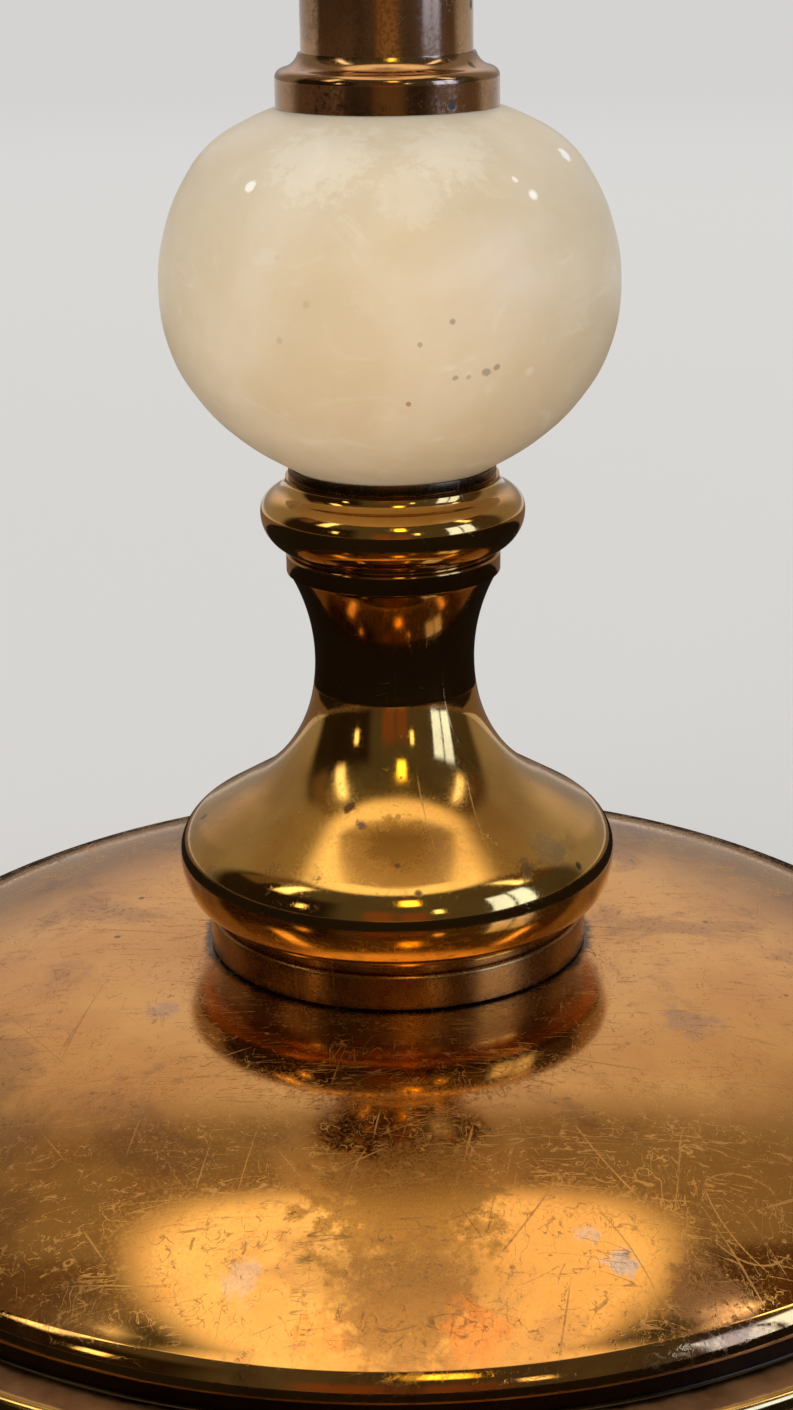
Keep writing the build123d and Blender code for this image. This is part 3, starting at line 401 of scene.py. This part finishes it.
def alabaster(name, look):
    mat, tree, shader = newMaterial(name)
    coords = objectCoords(tree)
    cloud = noise(tree, coords, look["cloudScale"], 6.0, 0.6, 0.8)
    base = mixColor(tree, spread(tree, cloud, 0.35, 0.68, smooth=True), look["tone"], look["tonePale"])
    wisps = noise(tree, objectCoords(tree, (1, 1, 1.6), (0.4, 0.3, 0)), look["wispScale"], 6.0, 0.6, 1.6)
    base = mixColor(tree, spread(tree, wisps, 0.56, 0.74, 0.0, look["wispAmount"], True), base, look["cloud"])
    flecks = specks(tree, look["fleckScale"], 0.16, look["fleckShare"])
    base = mixColor(tree, flecks, base, look["fleck"])
    pits = specks(tree, look["pitScale"], 0.22, look["pitShare"])
    base = mixColor(tree, calc(tree, "MULTIPLY", pits, 0.8), base, look["pit"])
    ragged = calc(tree, "SUBTRACT", noise(tree, coords, look["raggedScale"], 5.0, 0.65), 0.5)
    for mark in look["marks"]:
        base = mixColor(tree, markMask(tree, coords, ragged, mark), base, mark["tone"])
    put(tree, shader.inputs["Base Color"], base)
    haze = spread(tree, noise(tree, coords, look["roughScale"]), 0.35, 0.7, *look["rough"])
    put(tree, shader.inputs["Roughness"], haze)
    shader.inputs["Subsurface Weight"].default_value = look["inside"]
    shader.inputs["Subsurface Radius"].default_value = look["insideRadius"]
    shader.inputs["Subsurface Scale"].default_value = look["insideDepth"]
    shader.inputs["IOR"].default_value = look["index"]
    shader.inputs["Specular IOR Level"].default_value = look["gloss"]
    bump(tree, shader, calc(tree, "SUBTRACT", noise(tree, coords, look["reliefScale"], 3.0), pits), 0.00008, 0.25)
    return mat


# Plain finishes of the inner and upper pieces

def grained(name, look):
    mat, tree, shader = newMaterial(name)
    coords = objectCoords(tree)
    grain = noise(tree, coords, look["scale"], 5.0, 0.65)
    put(tree, shader.inputs["Base Color"],
        mixColor(tree, spread(tree, grain, 0.35, 0.68), look["tone"], look["toneDeep"]))
    put(tree, shader.inputs["Roughness"], spread(tree, grain, 0.3, 0.7, *look["rough"]))
    shader.inputs["Metallic"].default_value = look.get("metal", 0.0)
    shader.inputs["Subsurface Weight"].default_value = look.get("inside", 0.0)
    shader.inputs["Subsurface Radius"].default_value = (1.0, 0.96, 0.90)
    shader.inputs["Subsurface Scale"].default_value = 0.004
    shader.inputs["Transmission Weight"].default_value = look.get("clear", 0.0)
    bump(tree, shader, grain, look["depth"], look.get("strength", 0.4))
    return mat


finishes = {
    "castIron": {"tone": rgb(0.055, 0.052, 0.05), "toneDeep": rgb(0.025, 0.024, 0.023), "scale": 420.0,
                 "rough": (0.6, 0.85), "depth": 0.0006},
    "felt": {"tone": rgb(0.040, 0.085, 0.050), "toneDeep": rgb(0.018, 0.045, 0.025), "scale": 1500.0,
             "rough": (0.9, 1.0), "depth": 0.0008, "strength": 0.8},
    "zincSteel": {"tone": rgb(0.58, 0.58, 0.56), "toneDeep": rgb(0.42, 0.42, 0.40), "scale": 300.0,
                  "rough": (0.28, 0.45), "depth": 0.0001, "metal": 1.0},
    "rubber": {"tone": rgb(0.025, 0.024, 0.023), "toneDeep": rgb(0.014, 0.014, 0.014), "scale": 700.0,
               "rough": (0.55, 0.75), "depth": 0.0001},
    "fibre": {"tone": rgb(0.42, 0.31, 0.19), "toneDeep": rgb(0.30, 0.21, 0.12), "scale": 900.0,
              "rough": (0.75, 0.9), "depth": 0.0002},
    "nylon": {"tone": rgb(0.78, 0.76, 0.70), "toneDeep": rgb(0.70, 0.68, 0.62), "scale": 300.0,
              "rough": (0.4, 0.55), "depth": 0.0001},
    "socketBrass": {"tone": rgb(0.70, 0.50, 0.22), "toneDeep": rgb(0.56, 0.38, 0.15), "scale": 160.0,
                    "rough": (0.2, 0.36), "depth": 0.00008, "metal": 1.0},
    "phenolic": {"tone": rgb(0.026, 0.020, 0.017), "toneDeep": rgb(0.014, 0.011, 0.010), "scale": 350.0,
                 "rough": (0.28, 0.42), "depth": 0.0001},
    "bulbMetal": {"tone": rgb(0.76, 0.76, 0.76), "toneDeep": rgb(0.62, 0.62, 0.62), "scale": 240.0,
                  "rough": (0.25, 0.4), "depth": 0.0001, "metal": 1.0},
    "blackGlass": {"tone": rgb(0.015, 0.015, 0.017), "toneDeep": rgb(0.008, 0.008, 0.009), "scale": 200.0,
                   "rough": (0.08, 0.16), "depth": 0.00005},
    "frosted": {"tone": rgb(0.90, 0.90, 0.88), "toneDeep": rgb(0.84, 0.84, 0.82), "scale": 500.0,
                "rough": (0.35, 0.5), "depth": 0.00005, "inside": 0.5},
    "opalGlass": {"tone": rgb(0.88, 0.85, 0.79), "toneDeep": rgb(0.82, 0.78, 0.70), "scale": 9.0,
                  "rough": (0.10, 0.2), "depth": 0.0002, "strength": 0.15, "inside": 0.7},
}
mats = {name: grained(name, look) for name, look in finishes.items()}
mats["domeBrass"] = brass("domeBrass", domeLook)
mats["bellBrass"] = brass("bellBrass", bellLook)
mats["footBrass"] = brass("footBrass", footLook)
mats["neckBrass"] = brass("neckBrass", neckLook)
mats["seatBrass"] = brass("seatBrass", seatLook)
mats["tubeBrass"] = brass("tubeBrass", tubeLook)
mats["rimBrass"] = rimBrass("rimBrass", rimLook)
mats["alabaster"] = alabaster("alabaster", alabasterLook)
print("materials:", len(mats))

# Which finish each carried-over node wears
wears = {
    "castIron": ["base_weight"],
    "felt": ["base_felt"],
    "zincSteel": ["base_washer", "base_nut", "stem_pipe", "cup_washer", "cup_nut", "switch_shaft"],
    "rubber": ["cord_bushing", "bowl_gasket"],
    "fibre": ["ball_washers", "socket_sleeve"],
    "nylon": ["tube_bushes"],
    "socketBrass": ["socket_cap", "socket_shell", "socket_screw_shell", "socket_contact", "terminal_screws"],
    "phenolic": ["socket_body", "switch_knob"],
    "bulbMetal": ["bulb_cap", "bulb_contact"],
    "blackGlass": ["bulb_insulator"],
    "frosted": ["bulb_glass"],
    "opalGlass": ["glass_bowl"],
    "domeBrass": ["base_shell"],
    "footBrass": ["foot_ring"],
    "neckBrass": ["neck"],
    "seatBrass": ["ball_seat"],
    "bellBrass": ["bell", "neck_bead", "socket_cup", "shade_holder", "holder_ring"],
    "tubeBrass": ["ball_collar", "column_tube", "top_collar"],
    "alabaster": ["alabaster_ball"],
}
for finish, nodes in wears.items():
    for nodeName in nodes:
        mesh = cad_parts[nodeName].data
        mesh.materials.clear()
        mesh.materials.append(mats[finish])


# Turned pieces: an outline drawn with operators, then spun about the stem

def drawOutline(bm, moves, bottom, arcSteps):
    # a 2-tuple is a straight run to (radius, height); a pair of points is an arc through the first to the second
    start = moves[0]
    corner = bm.verts.new((start[0] * mm, 0, bottom + start[1] * mm))
    first = corner
    here = start
    for move in moves[1:]:
        if isinstance(move[0], tuple):
            (cr, cz), angle = circleThrough(here, move[0], move[1])
            done = bmesh.ops.spin(bm, geom=[corner], cent=(cr * mm, 0, bottom + cz * mm), axis=(0, -1, 0),
                                  angle=angle, steps=arcSteps, use_duplicate=False)
            corner = [v for v in done["geom_last"] if isinstance(v, bmesh.types.BMVert)][0]
            here = move[1]
        else:
            done = bmesh.ops.extrude_vert_indiv(bm, verts=[corner])
            corner = done["verts"][0]
            corner.co = (move[0] * mm, 0, bottom + move[1] * mm)
            here = move
    bm.edges.new((corner, first))


def turnPiece(name, node, moves, finish, body="stand", steps=160, arcSteps=14, rounded=0.0):
    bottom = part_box(node)[0][2]
    bm = bmesh.new()
    drawOutline(bm, moves, bottom, arcSteps)
    if rounded:
        corners = [v for v in bm.verts if isCorner(v)]
        bmesh.ops.bevel(bm, geom=corners, offset=rounded * mm, segments=3, profile=0.5, affect="VERTICES", material=-1)
    bmesh.ops.spin(bm, geom=bm.verts[:] + bm.edges[:], cent=(0, 0, 0), axis=(0, 0, 1), angle=2 * math.pi,
                   steps=steps, use_merge=True, use_duplicate=False)
    bmesh.ops.remove_doubles(bm, verts=bm.verts[:], dist=1e-6)
    bmesh.ops.recalc_face_normals(bm, faces=bm.faces[:])
    return finishPiece(name, bm, finish, body, [node])


def isCorner(v):
    if len(v.link_edges) != 2:
        return False
    a, b = [e.other_vert(v).co - v.co for e in v.link_edges]
    return math.degrees(a.angle(b)) < 150


def finishPiece(name, bm, finish, body, nodes, sharp=40):
    mesh = bpy.data.meshes.new(name)
    bm.to_mesh(mesh)
    bm.free()
    mesh.polygons.foreach_set("use_smooth", [True] * len(mesh.polygons))
    mesh.set_sharp_from_angle(angle=math.radians(sharp))
    mesh.materials.append(mats[finish])
    piece = bpy.data.objects.new(name, mesh)
    bpy.context.scene.collection.objects.link(piece)
    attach(piece, body)
    if nodes:
        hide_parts(*nodes)
    return piece


# Outlines in mm: radius, height above the bottom of the node
baseShape = {
    "moves": [
        (134.8, 0), (136.0, 0), (136.0, 12.3), ((135.53, 13.43), (134.4, 13.9)), (127.96, 13.9),
        ((127.54, 14.08), (127.36, 14.5)), (127.36, 17.395), ((126.843, 19.935), (125.375, 22.071)),
        ((125.194, 22.229), (125.0, 22.37)), ((110.28, 31.83), (94.0, 38.2)), ((73.17, 42.55), (52.0, 44.0)),
        (6.0, 44.0), (6.0, 42.8), (52.0, 42.8), ((73.1, 41.35), (93.6, 37.05)), ((109.6, 30.8), (124.0, 21.2)),
        (126.1, 17.4), (126.1, 12.7), (134.8, 12.7),
    ],
    "steps": 256, "arcSteps": 24, "crestFoot": 17.4,
}
footShape = {"moves": [(30, 0), (37.6, 0), (38.1, 0.5), (38.1, 6.5), ((37.81, 7.21), (37.1, 7.5)), (36.9, 7.5),
                       (36.9, 8.9), (30, 8.9)], "steps": 192, "arcSteps": 8}
bellShape = {
    "moves": [
        (30, 0), (37.4, 0), (37.4, 0.6), ((38.2, 1.7), (39.916, 2.012)), ((41.158, 2.539), (42.044, 3.558)),
        ((43.354, 6.971), (43.8, 10.6)), ((42.67, 14.88), (39.58, 18.06)), (30.37, 23.6),
        ((21.2, 32.05), (16.13, 45.1)), (14.5, 45.1), (17.5, 32.0), (30, 20), (30, 8),
    ],
    "steps": 192, "arcSteps": 20,
}
neckShape = {
    "moves": [
        (10, 0), (14.38, 0), (14.38, 6), (16.13, 6), ((15.75, 11.3), (20.43, 29.4)), (20.9, 29.4), (20.9, 33.1),
        (20.5, 33.5), (10, 33.5),
    ],
    "steps": 160, "arcSteps": 28,
}
beadShape = {
    "moves": [
        (5.4, 0), (9.9, 0), (9.9, 3), (19.8, 3), (19.8, 4), (21.4, 4), ((24.75, 7.2), (25.7, 11)),
        ((24.74, 13.7), (22.3, 15.2)), ((21.07, 16.3), (20.7, 17.9)), (5.4, 17.9),
    ],
    "steps": 160, "arcSteps": 14,
}
seatShape = {"moves": [(5.4, 0), (20.1, 0), (20.1, 2.25), (19.1, 1.55), (18.7, 1.1), (5.4, 1.1)],
             "steps": 160, "arcSteps": 4}
collarShape = {
    "moves": [
        (5.4, 0.95), (18.7, 0.95), (19.8, 0.45), (20.75, 0), (20.75, 5.0), ((20.40, 6.25), (19.35, 6.95)),
        ((17.5, 7.85), (16.375, 9.65)), (15.875, 9.65), (15.875, 6.25), (5.4, 6.25),
    ],
    "steps": 160, "arcSteps": 10,
}
tubeShape = {"radius": 15.875, "bore": 14.675, "steps": 160}

base = turnPiece("baseShell", "base_shell", baseShape["moves"], "domeBrass", steps=baseShape["steps"],
                 arcSteps=baseShape["arcSteps"])
base.data.materials.append(mats["rimBrass"])
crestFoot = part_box("base_shell")[0][2] + baseShape["crestFoot"] * mm
for face in base.data.polygons:
    if face.center.z < crestFoot:
        face.material_index = 1
turnPiece("footRing", "foot_ring", footShape["moves"], "footBrass", steps=footShape["steps"],
          arcSteps=footShape["arcSteps"])
turnPiece("bellBody", "bell", bellShape["moves"], "bellBrass", steps=bellShape["steps"],
          arcSteps=bellShape["arcSteps"])
turnPiece("neckPiece", "neck", neckShape["moves"], "neckBrass", steps=neckShape["steps"],
          arcSteps=neckShape["arcSteps"], rounded=0.25)
turnPiece("neckBead", "neck_bead", beadShape["moves"], "bellBrass", steps=beadShape["steps"],
          arcSteps=beadShape["arcSteps"])
turnPiece("ballSeat", "ball_seat", seatShape["moves"], "seatBrass", steps=seatShape["steps"],
          arcSteps=seatShape["arcSteps"], rounded=0.2)
turnPiece("ballCollar", "ball_collar", collarShape["moves"], "tubeBrass", steps=collarShape["steps"],
          arcSteps=collarShape["arcSteps"])

tubeLow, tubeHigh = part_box("column_tube")
tubeLength = (tubeHigh[2] - tubeLow[2]) / mm
turnPiece("columnTube", "column_tube",
          [(tubeShape["bore"], 0), (tubeShape["radius"], 0), (tubeShape["radius"], tubeLength),
           (tubeShape["bore"], tubeLength)], "tubeBrass", steps=tubeShape["steps"], arcSteps=2)

# The ball: a smooth curve through its measured girths, spun
ballShape = {
    "girths": [(18.9, 0), (29.5, 6.9), (36.8, 14.4), (41.7, 23.4), (43.5, 35.1), (41.9, 46.0), (37.9, 55.1),
               (33.3, 60.9), (25.8, 65.5), (19.6, 68.0)],
    "bore": 6.5, "resolution": 12, "steps": 192,
}


def ballPiece(shape):
    low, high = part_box("alabaster_ball")
    curve = bpy.data.curves.new("ballOutline", "CURVE")
    curve.dimensions = "3D"
    curve.resolution_u = shape["resolution"]
    spline = curve.splines.new("BEZIER")
    spline.bezier_points.add(len(shape["girths"]) - 1)
    for point, (r, z) in zip(spline.bezier_points, shape["girths"]):
        point.co = (r * mm, 0, low[2] + z * mm)
        point.handle_left_type = point.handle_right_type = "AUTO"
    drawn = bpy.data.objects.new("ballOutline", curve)
    line = bpy.data.meshes.new_from_object(drawn)
    bm = bmesh.new()
    bm.from_mesh(line)
    bm.verts.ensure_lookup_table()
    ends = sorted((v for v in bm.verts if len(v.link_edges) == 1), key=lambda v: v.co.z)
    inner = []
    for end in ends:
        grown = bmesh.ops.extrude_vert_indiv(bm, verts=[end])["verts"][0]
        grown.co.x = shape["bore"] * mm
        inner.append(grown)
    bm.edges.new(inner)
    bmesh.ops.spin(bm, geom=bm.verts[:] + bm.edges[:], cent=(0, 0, 0), axis=(0, 0, 1), angle=2 * math.pi,
                   steps=shape["steps"], use_merge=True, use_duplicate=False)
    bmesh.ops.remove_doubles(bm, verts=bm.verts[:], dist=1e-6)
    bmesh.ops.recalc_face_normals(bm, faces=bm.faces[:])
    bpy.data.objects.remove(drawn)
    bpy.data.curves.remove(curve)
    bpy.data.meshes.remove(line)
    return finishPiece("alabasterBall", bm, "alabaster", "stand", ["alabaster_ball"])


ballPiece(ballShape)
print("turned pieces done")


# Stage: pale floor, soft lights, and a tent of room and windows that only reflections see

stageLook = {
    "floorRadius": 40.0, "floorTone": rgb(0.66, 0.655, 0.65), "floorFade": (0.9, 2.6),
    "cardTone": rgb(0.016, 0.014, 0.012), "cardSize": (3.0, 2.6), "cardPlace": (0, -0.97, 0.0004),
    "roomTone": rgb(0.20, 0.145, 0.105), "roomSize": (14.0, 7.4), "roomPlace": (0, -2.9, 0.0002),
    "rugTone": rgb(0.68, 0.46, 0.17), "rugSize": (1.6, 4.0), "rugPlace": (0.1, -4.4, 0.0008),
    "worldTone": rgb(0.66, 0.652, 0.644), "worldFill": 0.75,
}
# What the room shows to the brass, by azimuth (0 behind the lamp, 90 right) and elevation
tentLook = {
    "radius": 5.0,
    "wallLow": rgb(0.35, 0.345, 0.36), "wallBright": rgb(0.84, 0.75, 0.72), "wallMid": rgb(0.36, 0.33, 0.29),
    "sideLeft": rgb(0.026, 0.02, 0.013), "sideRight": rgb(0.085, 0.075, 0.055), "sideHigh": rgb(0.30, 0.25, 0.18),
    "roomFront": rgb(0.10, 0.09, 0.066), "shade": rgb(0.33, 0.26, 0.175), "ceiling": rgb(1.85, 1.6, 1.1),
    "ceilingTop": rgb(0.62, 0.50, 0.36),
    "wallRise": (6, 24), "shadeRise": (41, 50), "sideRise": (43, 54), "ceilingRise": (60.5, 68), "topRise": (78, 87),
    "wallSpan": (18, 46), "sideSpan": (66, 78), "frontSpan": (100, 112),
}
# Dark things under the ceiling and bright ones over it: place, half width and height in degrees, softness of the edge
roomShades = {
    "darkLeft": {"at": (-122, 8), "half": (25, 28), "soft": 0.25, "tone": rgb(0.024, 0.017, 0.010)},
    "curtainLeft": {"at": (-86, 47), "half": (8, 14), "soft": 0.3, "tone": rgb(0.18, 0.12, 0.07)},
    "curtainRight": {"at": (86, 47), "half": (11, 13), "soft": 0.3, "tone": rgb(0.11, 0.06, 0.03)},
}
roomThings = {
    "rugLeft": {"at": (-171, 8), "half": (8, 15), "soft": 0.5, "tone": rgb(0.24, 0.10, 0.045)},
    "rugRight": {"at": (172, 6), "half": (7, 14), "soft": 0.5, "tone": rgb(0.24, 0.10, 0.045)},
    "paneLeft": {"at": (111.5, 12), "half": (5.5, 20), "soft": 0.15, "tone": rgb(1.6, 2.5, 5.4)},
    "paneRight": {"at": (125, 13), "half": (6, 18), "soft": 0.15, "tone": rgb(1.6, 2.5, 5.4)},
    "coveRight": {"at": (100, 48), "half": (4, 9), "soft": 0.4, "tone": rgb(3.6, 3.5, 3.0)},
    "coveLeft": {"at": (-110, 45), "half": (5.5, 11), "soft": 0.35, "tone": rgb(3.2, 3.0, 2.3)},
    "spotLeft": {"at": (-129, 17), "half": (2.6, 4.5), "soft": 0.5, "tone": rgb(3.4, 3.0, 1.9)},
    "spotRight": {"at": (159, 19), "half": (2.2, 4.5), "soft": 0.5, "tone": rgb(3.4, 3.1, 2.0)},
    "bulbFront": {"at": (173, 43), "half": (5, 6.5), "soft": 0.5, "tone": rgb(6.0, 4.8, 0.7)},
}


def stagePiece(name, bm, mat, glossOnly):
    mesh = bpy.data.meshes.new(name)
    bm.to_mesh(mesh)
    bm.free()
    mesh.materials.append(mat)
    piece = bpy.data.objects.new(name, mesh)
    bpy.context.scene.collection.objects.link(piece)
    if glossOnly:
        piece.visible_camera = False
        piece.visible_diffuse = False
        piece.visible_transmission = False
        piece.visible_shadow = False
    return piece


def plane(name, size, place, tone, glossOnly=False):
    bm = bmesh.new()
    bmesh.ops.create_grid(bm, x_segments=1, y_segments=1, size=0.5)
    bmesh.ops.transform(bm, matrix=Matrix.Translation(place) @ Matrix.Diagonal((*size, 1, 1)), verts=bm.verts[:])
    mat, tree, shader = newMaterial(name)
    shader.inputs["Base Color"].default_value = tone
    shader.inputs["Roughness"].default_value = 1.0
    shader.inputs["Specular IOR Level"].default_value = 0.0
    return stagePiece(name, bm, mat, glossOnly)


def seenRays(tree):
    # rays that show the backdrop, as against those that only carry light
    rays = addNode(tree, "ShaderNodeLightPath")
    seen = calc(tree, "MAXIMUM", rays.outputs["Is Camera Ray"], rays.outputs["Is Glossy Ray"])
    return calc(tree, "MAXIMUM", seen, rays.outputs["Is Transmission Ray"])


def paleFloor(look):
    # a wide disc that fades into the backdrop far from the lamp
    bm = bmesh.new()
    bmesh.ops.create_circle(bm, cap_ends=True, segments=96, radius=look["floorRadius"])
    mat, tree, shader = newMaterial("floor")
    shader.inputs["Base Color"].default_value = look["floorTone"]
    shader.inputs["Roughness"].default_value = 1.0
    shader.inputs["Specular IOR Level"].default_value = 0.0
    reach = addNode(tree, "ShaderNodeVectorMath", {0: objectCoords(tree)}, operation="LENGTH").outputs["Value"]
    backdrop = addNode(tree, "ShaderNodeEmission", {"Color": look["worldTone"], "Strength": 1.0})
    far = calc(tree, "MULTIPLY", spread(tree, reach, *look["floorFade"], smooth=True), seenRays(tree))
    fade = addNode(tree, "ShaderNodeMixShader", {0: far, 1: shader.outputs["BSDF"], 2: backdrop.outputs["Emission"]})
    tree.links.new(fade.outputs["Shader"], tree.nodes["Material Output"].inputs["Surface"])
    mat.cycles.emission_sampling = "NONE"
    return stagePiece("floor", bm, mat, False)


def roomPatch(tree, azimuth, elevation, thing):
    # a soft-edged rectangle of directions
    mask = None
    for angle, middle, half in zip((azimuth, elevation), thing["at"], thing["half"]):
        off = calc(tree, "ABSOLUTE", calc(tree, "SUBTRACT", angle, middle))
        edge = spread(tree, off, half * (1 + thing["soft"]), half * (1 - thing["soft"]), smooth=True)
        mask = edge if mask is None else calc(tree, "MULTIPLY", mask, edge)
    return mask


def roomTent(look, shades, things):
    bm = bmesh.new()
    bmesh.ops.create_uvsphere(bm, u_segments=64, v_segments=32, radius=look["radius"])
    low = [f for f in bm.faces if f.calc_center_median().z < 0]
    bmesh.ops.delete(bm, geom=low, context="FACES")
    mat, tree, shader = newMaterial("roomTent")
    ray = addNode(tree, "ShaderNodeVectorMath", {0: objectCoords(tree)}, operation="NORMALIZE").outputs["Vector"]
    axes = addNode(tree, "ShaderNodeSeparateXYZ", {"Vector": ray})
    degrees = math.degrees(1)
    azimuth = calc(tree, "MULTIPLY", calc(tree, "ARCTAN2", axes.outputs["X"], axes.outputs["Y"]), degrees)
    elevation = calc(tree, "MULTIPLY", calc(tree, "ARCSINE", axes.outputs["Z"]), degrees)
    aside = calc(tree, "ABSOLUTE", azimuth)
    wall = mixColor(tree, spread(tree, elevation, *look["wallRise"], smooth=True), look["wallLow"], look["wallBright"])
    wall = mixColor(tree, spread(tree, aside, *look["wallSpan"], smooth=True), wall, look["wallMid"])
    high = mixColor(tree, spread(tree, elevation, *look["shadeRise"], smooth=True), wall, look["shade"])
    side = mixColor(tree, spread(tree, azimuth, -1, 1), look["sideLeft"], look["sideRight"])
    side = mixColor(tree, spread(tree, elevation, *look["sideRise"], smooth=True), side, look["sideHigh"])
    room = mixColor(tree, spread(tree, aside, *look["sideSpan"], smooth=True), high, side)
    room = mixColor(tree, spread(tree, aside, *look["frontSpan"], smooth=True), room, look["roomFront"])
    for shade in shades.values():
        room = mixColor(tree, roomPatch(tree, azimuth, elevation, shade), room, shade["tone"])
    sky = mixColor(tree, spread(tree, elevation, *look["topRise"], smooth=True), look["ceiling"], look["ceilingTop"])
    room = mixColor(tree, spread(tree, elevation, *look["ceilingRise"], smooth=True), room, sky)
    for thing in things.values():
        room = mixColor(tree, roomPatch(tree, azimuth, elevation, thing), room, thing["tone"])
    emission = addNode(tree, "ShaderNodeEmission", {"Color": room, "Strength": 1.0})
    tree.links.new(emission.outputs["Emission"], tree.nodes["Material Output"].inputs["Surface"])
    tree.nodes.remove(shader)
    mat.cycles.emission_sampling = "NONE"
    return stagePiece("roomTent", bm, mat, True)


paleFloor(stageLook)
plane("roomCard", stageLook["roomSize"], stageLook["roomPlace"], stageLook["roomTone"], True)
plane("tableCard", stageLook["cardSize"], stageLook["cardPlace"], stageLook["cardTone"], True)
plane("rugCard", stageLook["rugSize"], stageLook["rugPlace"], stageLook["rugTone"], True)
roomTent(tentLook, roomShades, roomThings)

world = bpy.data.worlds.new("studio")
bpy.context.scene.world = world
world.use_nodes = True
worldTree = world.node_tree
background = worldTree.nodes["Background"]
seen = seenRays(worldTree)
background.inputs["Color"].default_value = stageLook["worldTone"]
put(worldTree, background.inputs["Strength"], spread(worldTree, seen, 0, 1, stageLook["worldFill"], 1.0))


# Soft lights: size and place in metres, power in watts
softBoxes = {
    "keyAbove": {"size": (5.0, 5.0), "place": (0.75, -1.5, 6.45), "aim": (0, 0, 0.2), "power": 162,
                 "tone": (1.0, 0.97, 0.92)},
    "windowSide": {"size": (0.8, 1.4), "place": (1.8, -0.9, 1.0), "aim": (0, 0, 0.2), "power": 9,
                   "tone": (0.95, 0.98, 1.0)},
    "fillFront": {"size": (1.2, 1.0), "place": (-1.3, -1.7, 0.55), "aim": (0, 0, 0.15), "power": 18,
                  "tone": (1.0, 0.96, 0.90)},
    "brassGlow": {"size": (0.2, 0.2), "place": (0, -0.25, 0.06), "aim": (0, -0.24, 1), "power": 0.3,
                  "tone": (1.0, 0.62, 0.22)},
    "backWash": {"size": (3.0, 2.0), "place": (0, 3.5, 3.0), "aim": (0, 3.2, 0), "power": 60,
                 "tone": (1.0, 0.99, 0.97)},
}


def softBox(name, box):
    light = bpy.data.lights.new(name, "AREA")
    light.shape = "RECTANGLE"
    light.size, light.size_y = box["size"]
    light.energy = box["power"]
    light.color = box["tone"]
    lamp = bpy.data.objects.new(name, light)
    lamp.location = box["place"]
    lamp.rotation_euler = (Vector(box["aim"]) - Vector(box["place"])).to_track_quat("-Z", "Y").to_euler()
    lamp.visible_glossy = False
    lamp.visible_camera = False
    bpy.context.scene.collection.objects.link(lamp)
    return lamp


for boxName, softLight in softBoxes.items():
    softBox(boxName, softLight)

# Camera at the photograph's viewing angle
cameraFit = {
    "focal": 2500.0, "longSide": 1410.0, "back": 0.47185, "height": 0.25389,
    "pitch": 18.657, "yaw": 0.030, "roll": -0.735,
}


def addCamera(fit):
    pitch, yaw, roll = (math.radians(fit[key]) for key in ("pitch", "yaw", "roll"))
    forward = Vector((math.sin(yaw) * math.cos(pitch), math.cos(yaw) * math.cos(pitch), -math.sin(pitch)))
    right = Vector((math.cos(yaw), -math.sin(yaw), 0))
    up = right.cross(forward)
    turnedRight = right * math.cos(roll) + up * math.sin(roll)
    turnedUp = up * math.cos(roll) - right * math.sin(roll)
    data = bpy.data.cameras.new("camera")
    data.sensor_width = 36.0
    data.lens = fit["focal"] / fit["longSide"] * 36.0
    data.clip_start = 0.02
    camera = bpy.data.objects.new("camera", data)
    axes = Matrix((turnedRight, turnedUp, -forward)).transposed().to_4x4()
    camera.matrix_world = Matrix.Translation((0, -fit["back"], fit["height"])) @ axes
    bpy.context.scene.collection.objects.link(camera)
    bpy.context.scene.camera = camera


addCamera(cameraFit)
bpy.context.scene.view_settings.view_transform = "Standard"
print("stage and camera done")
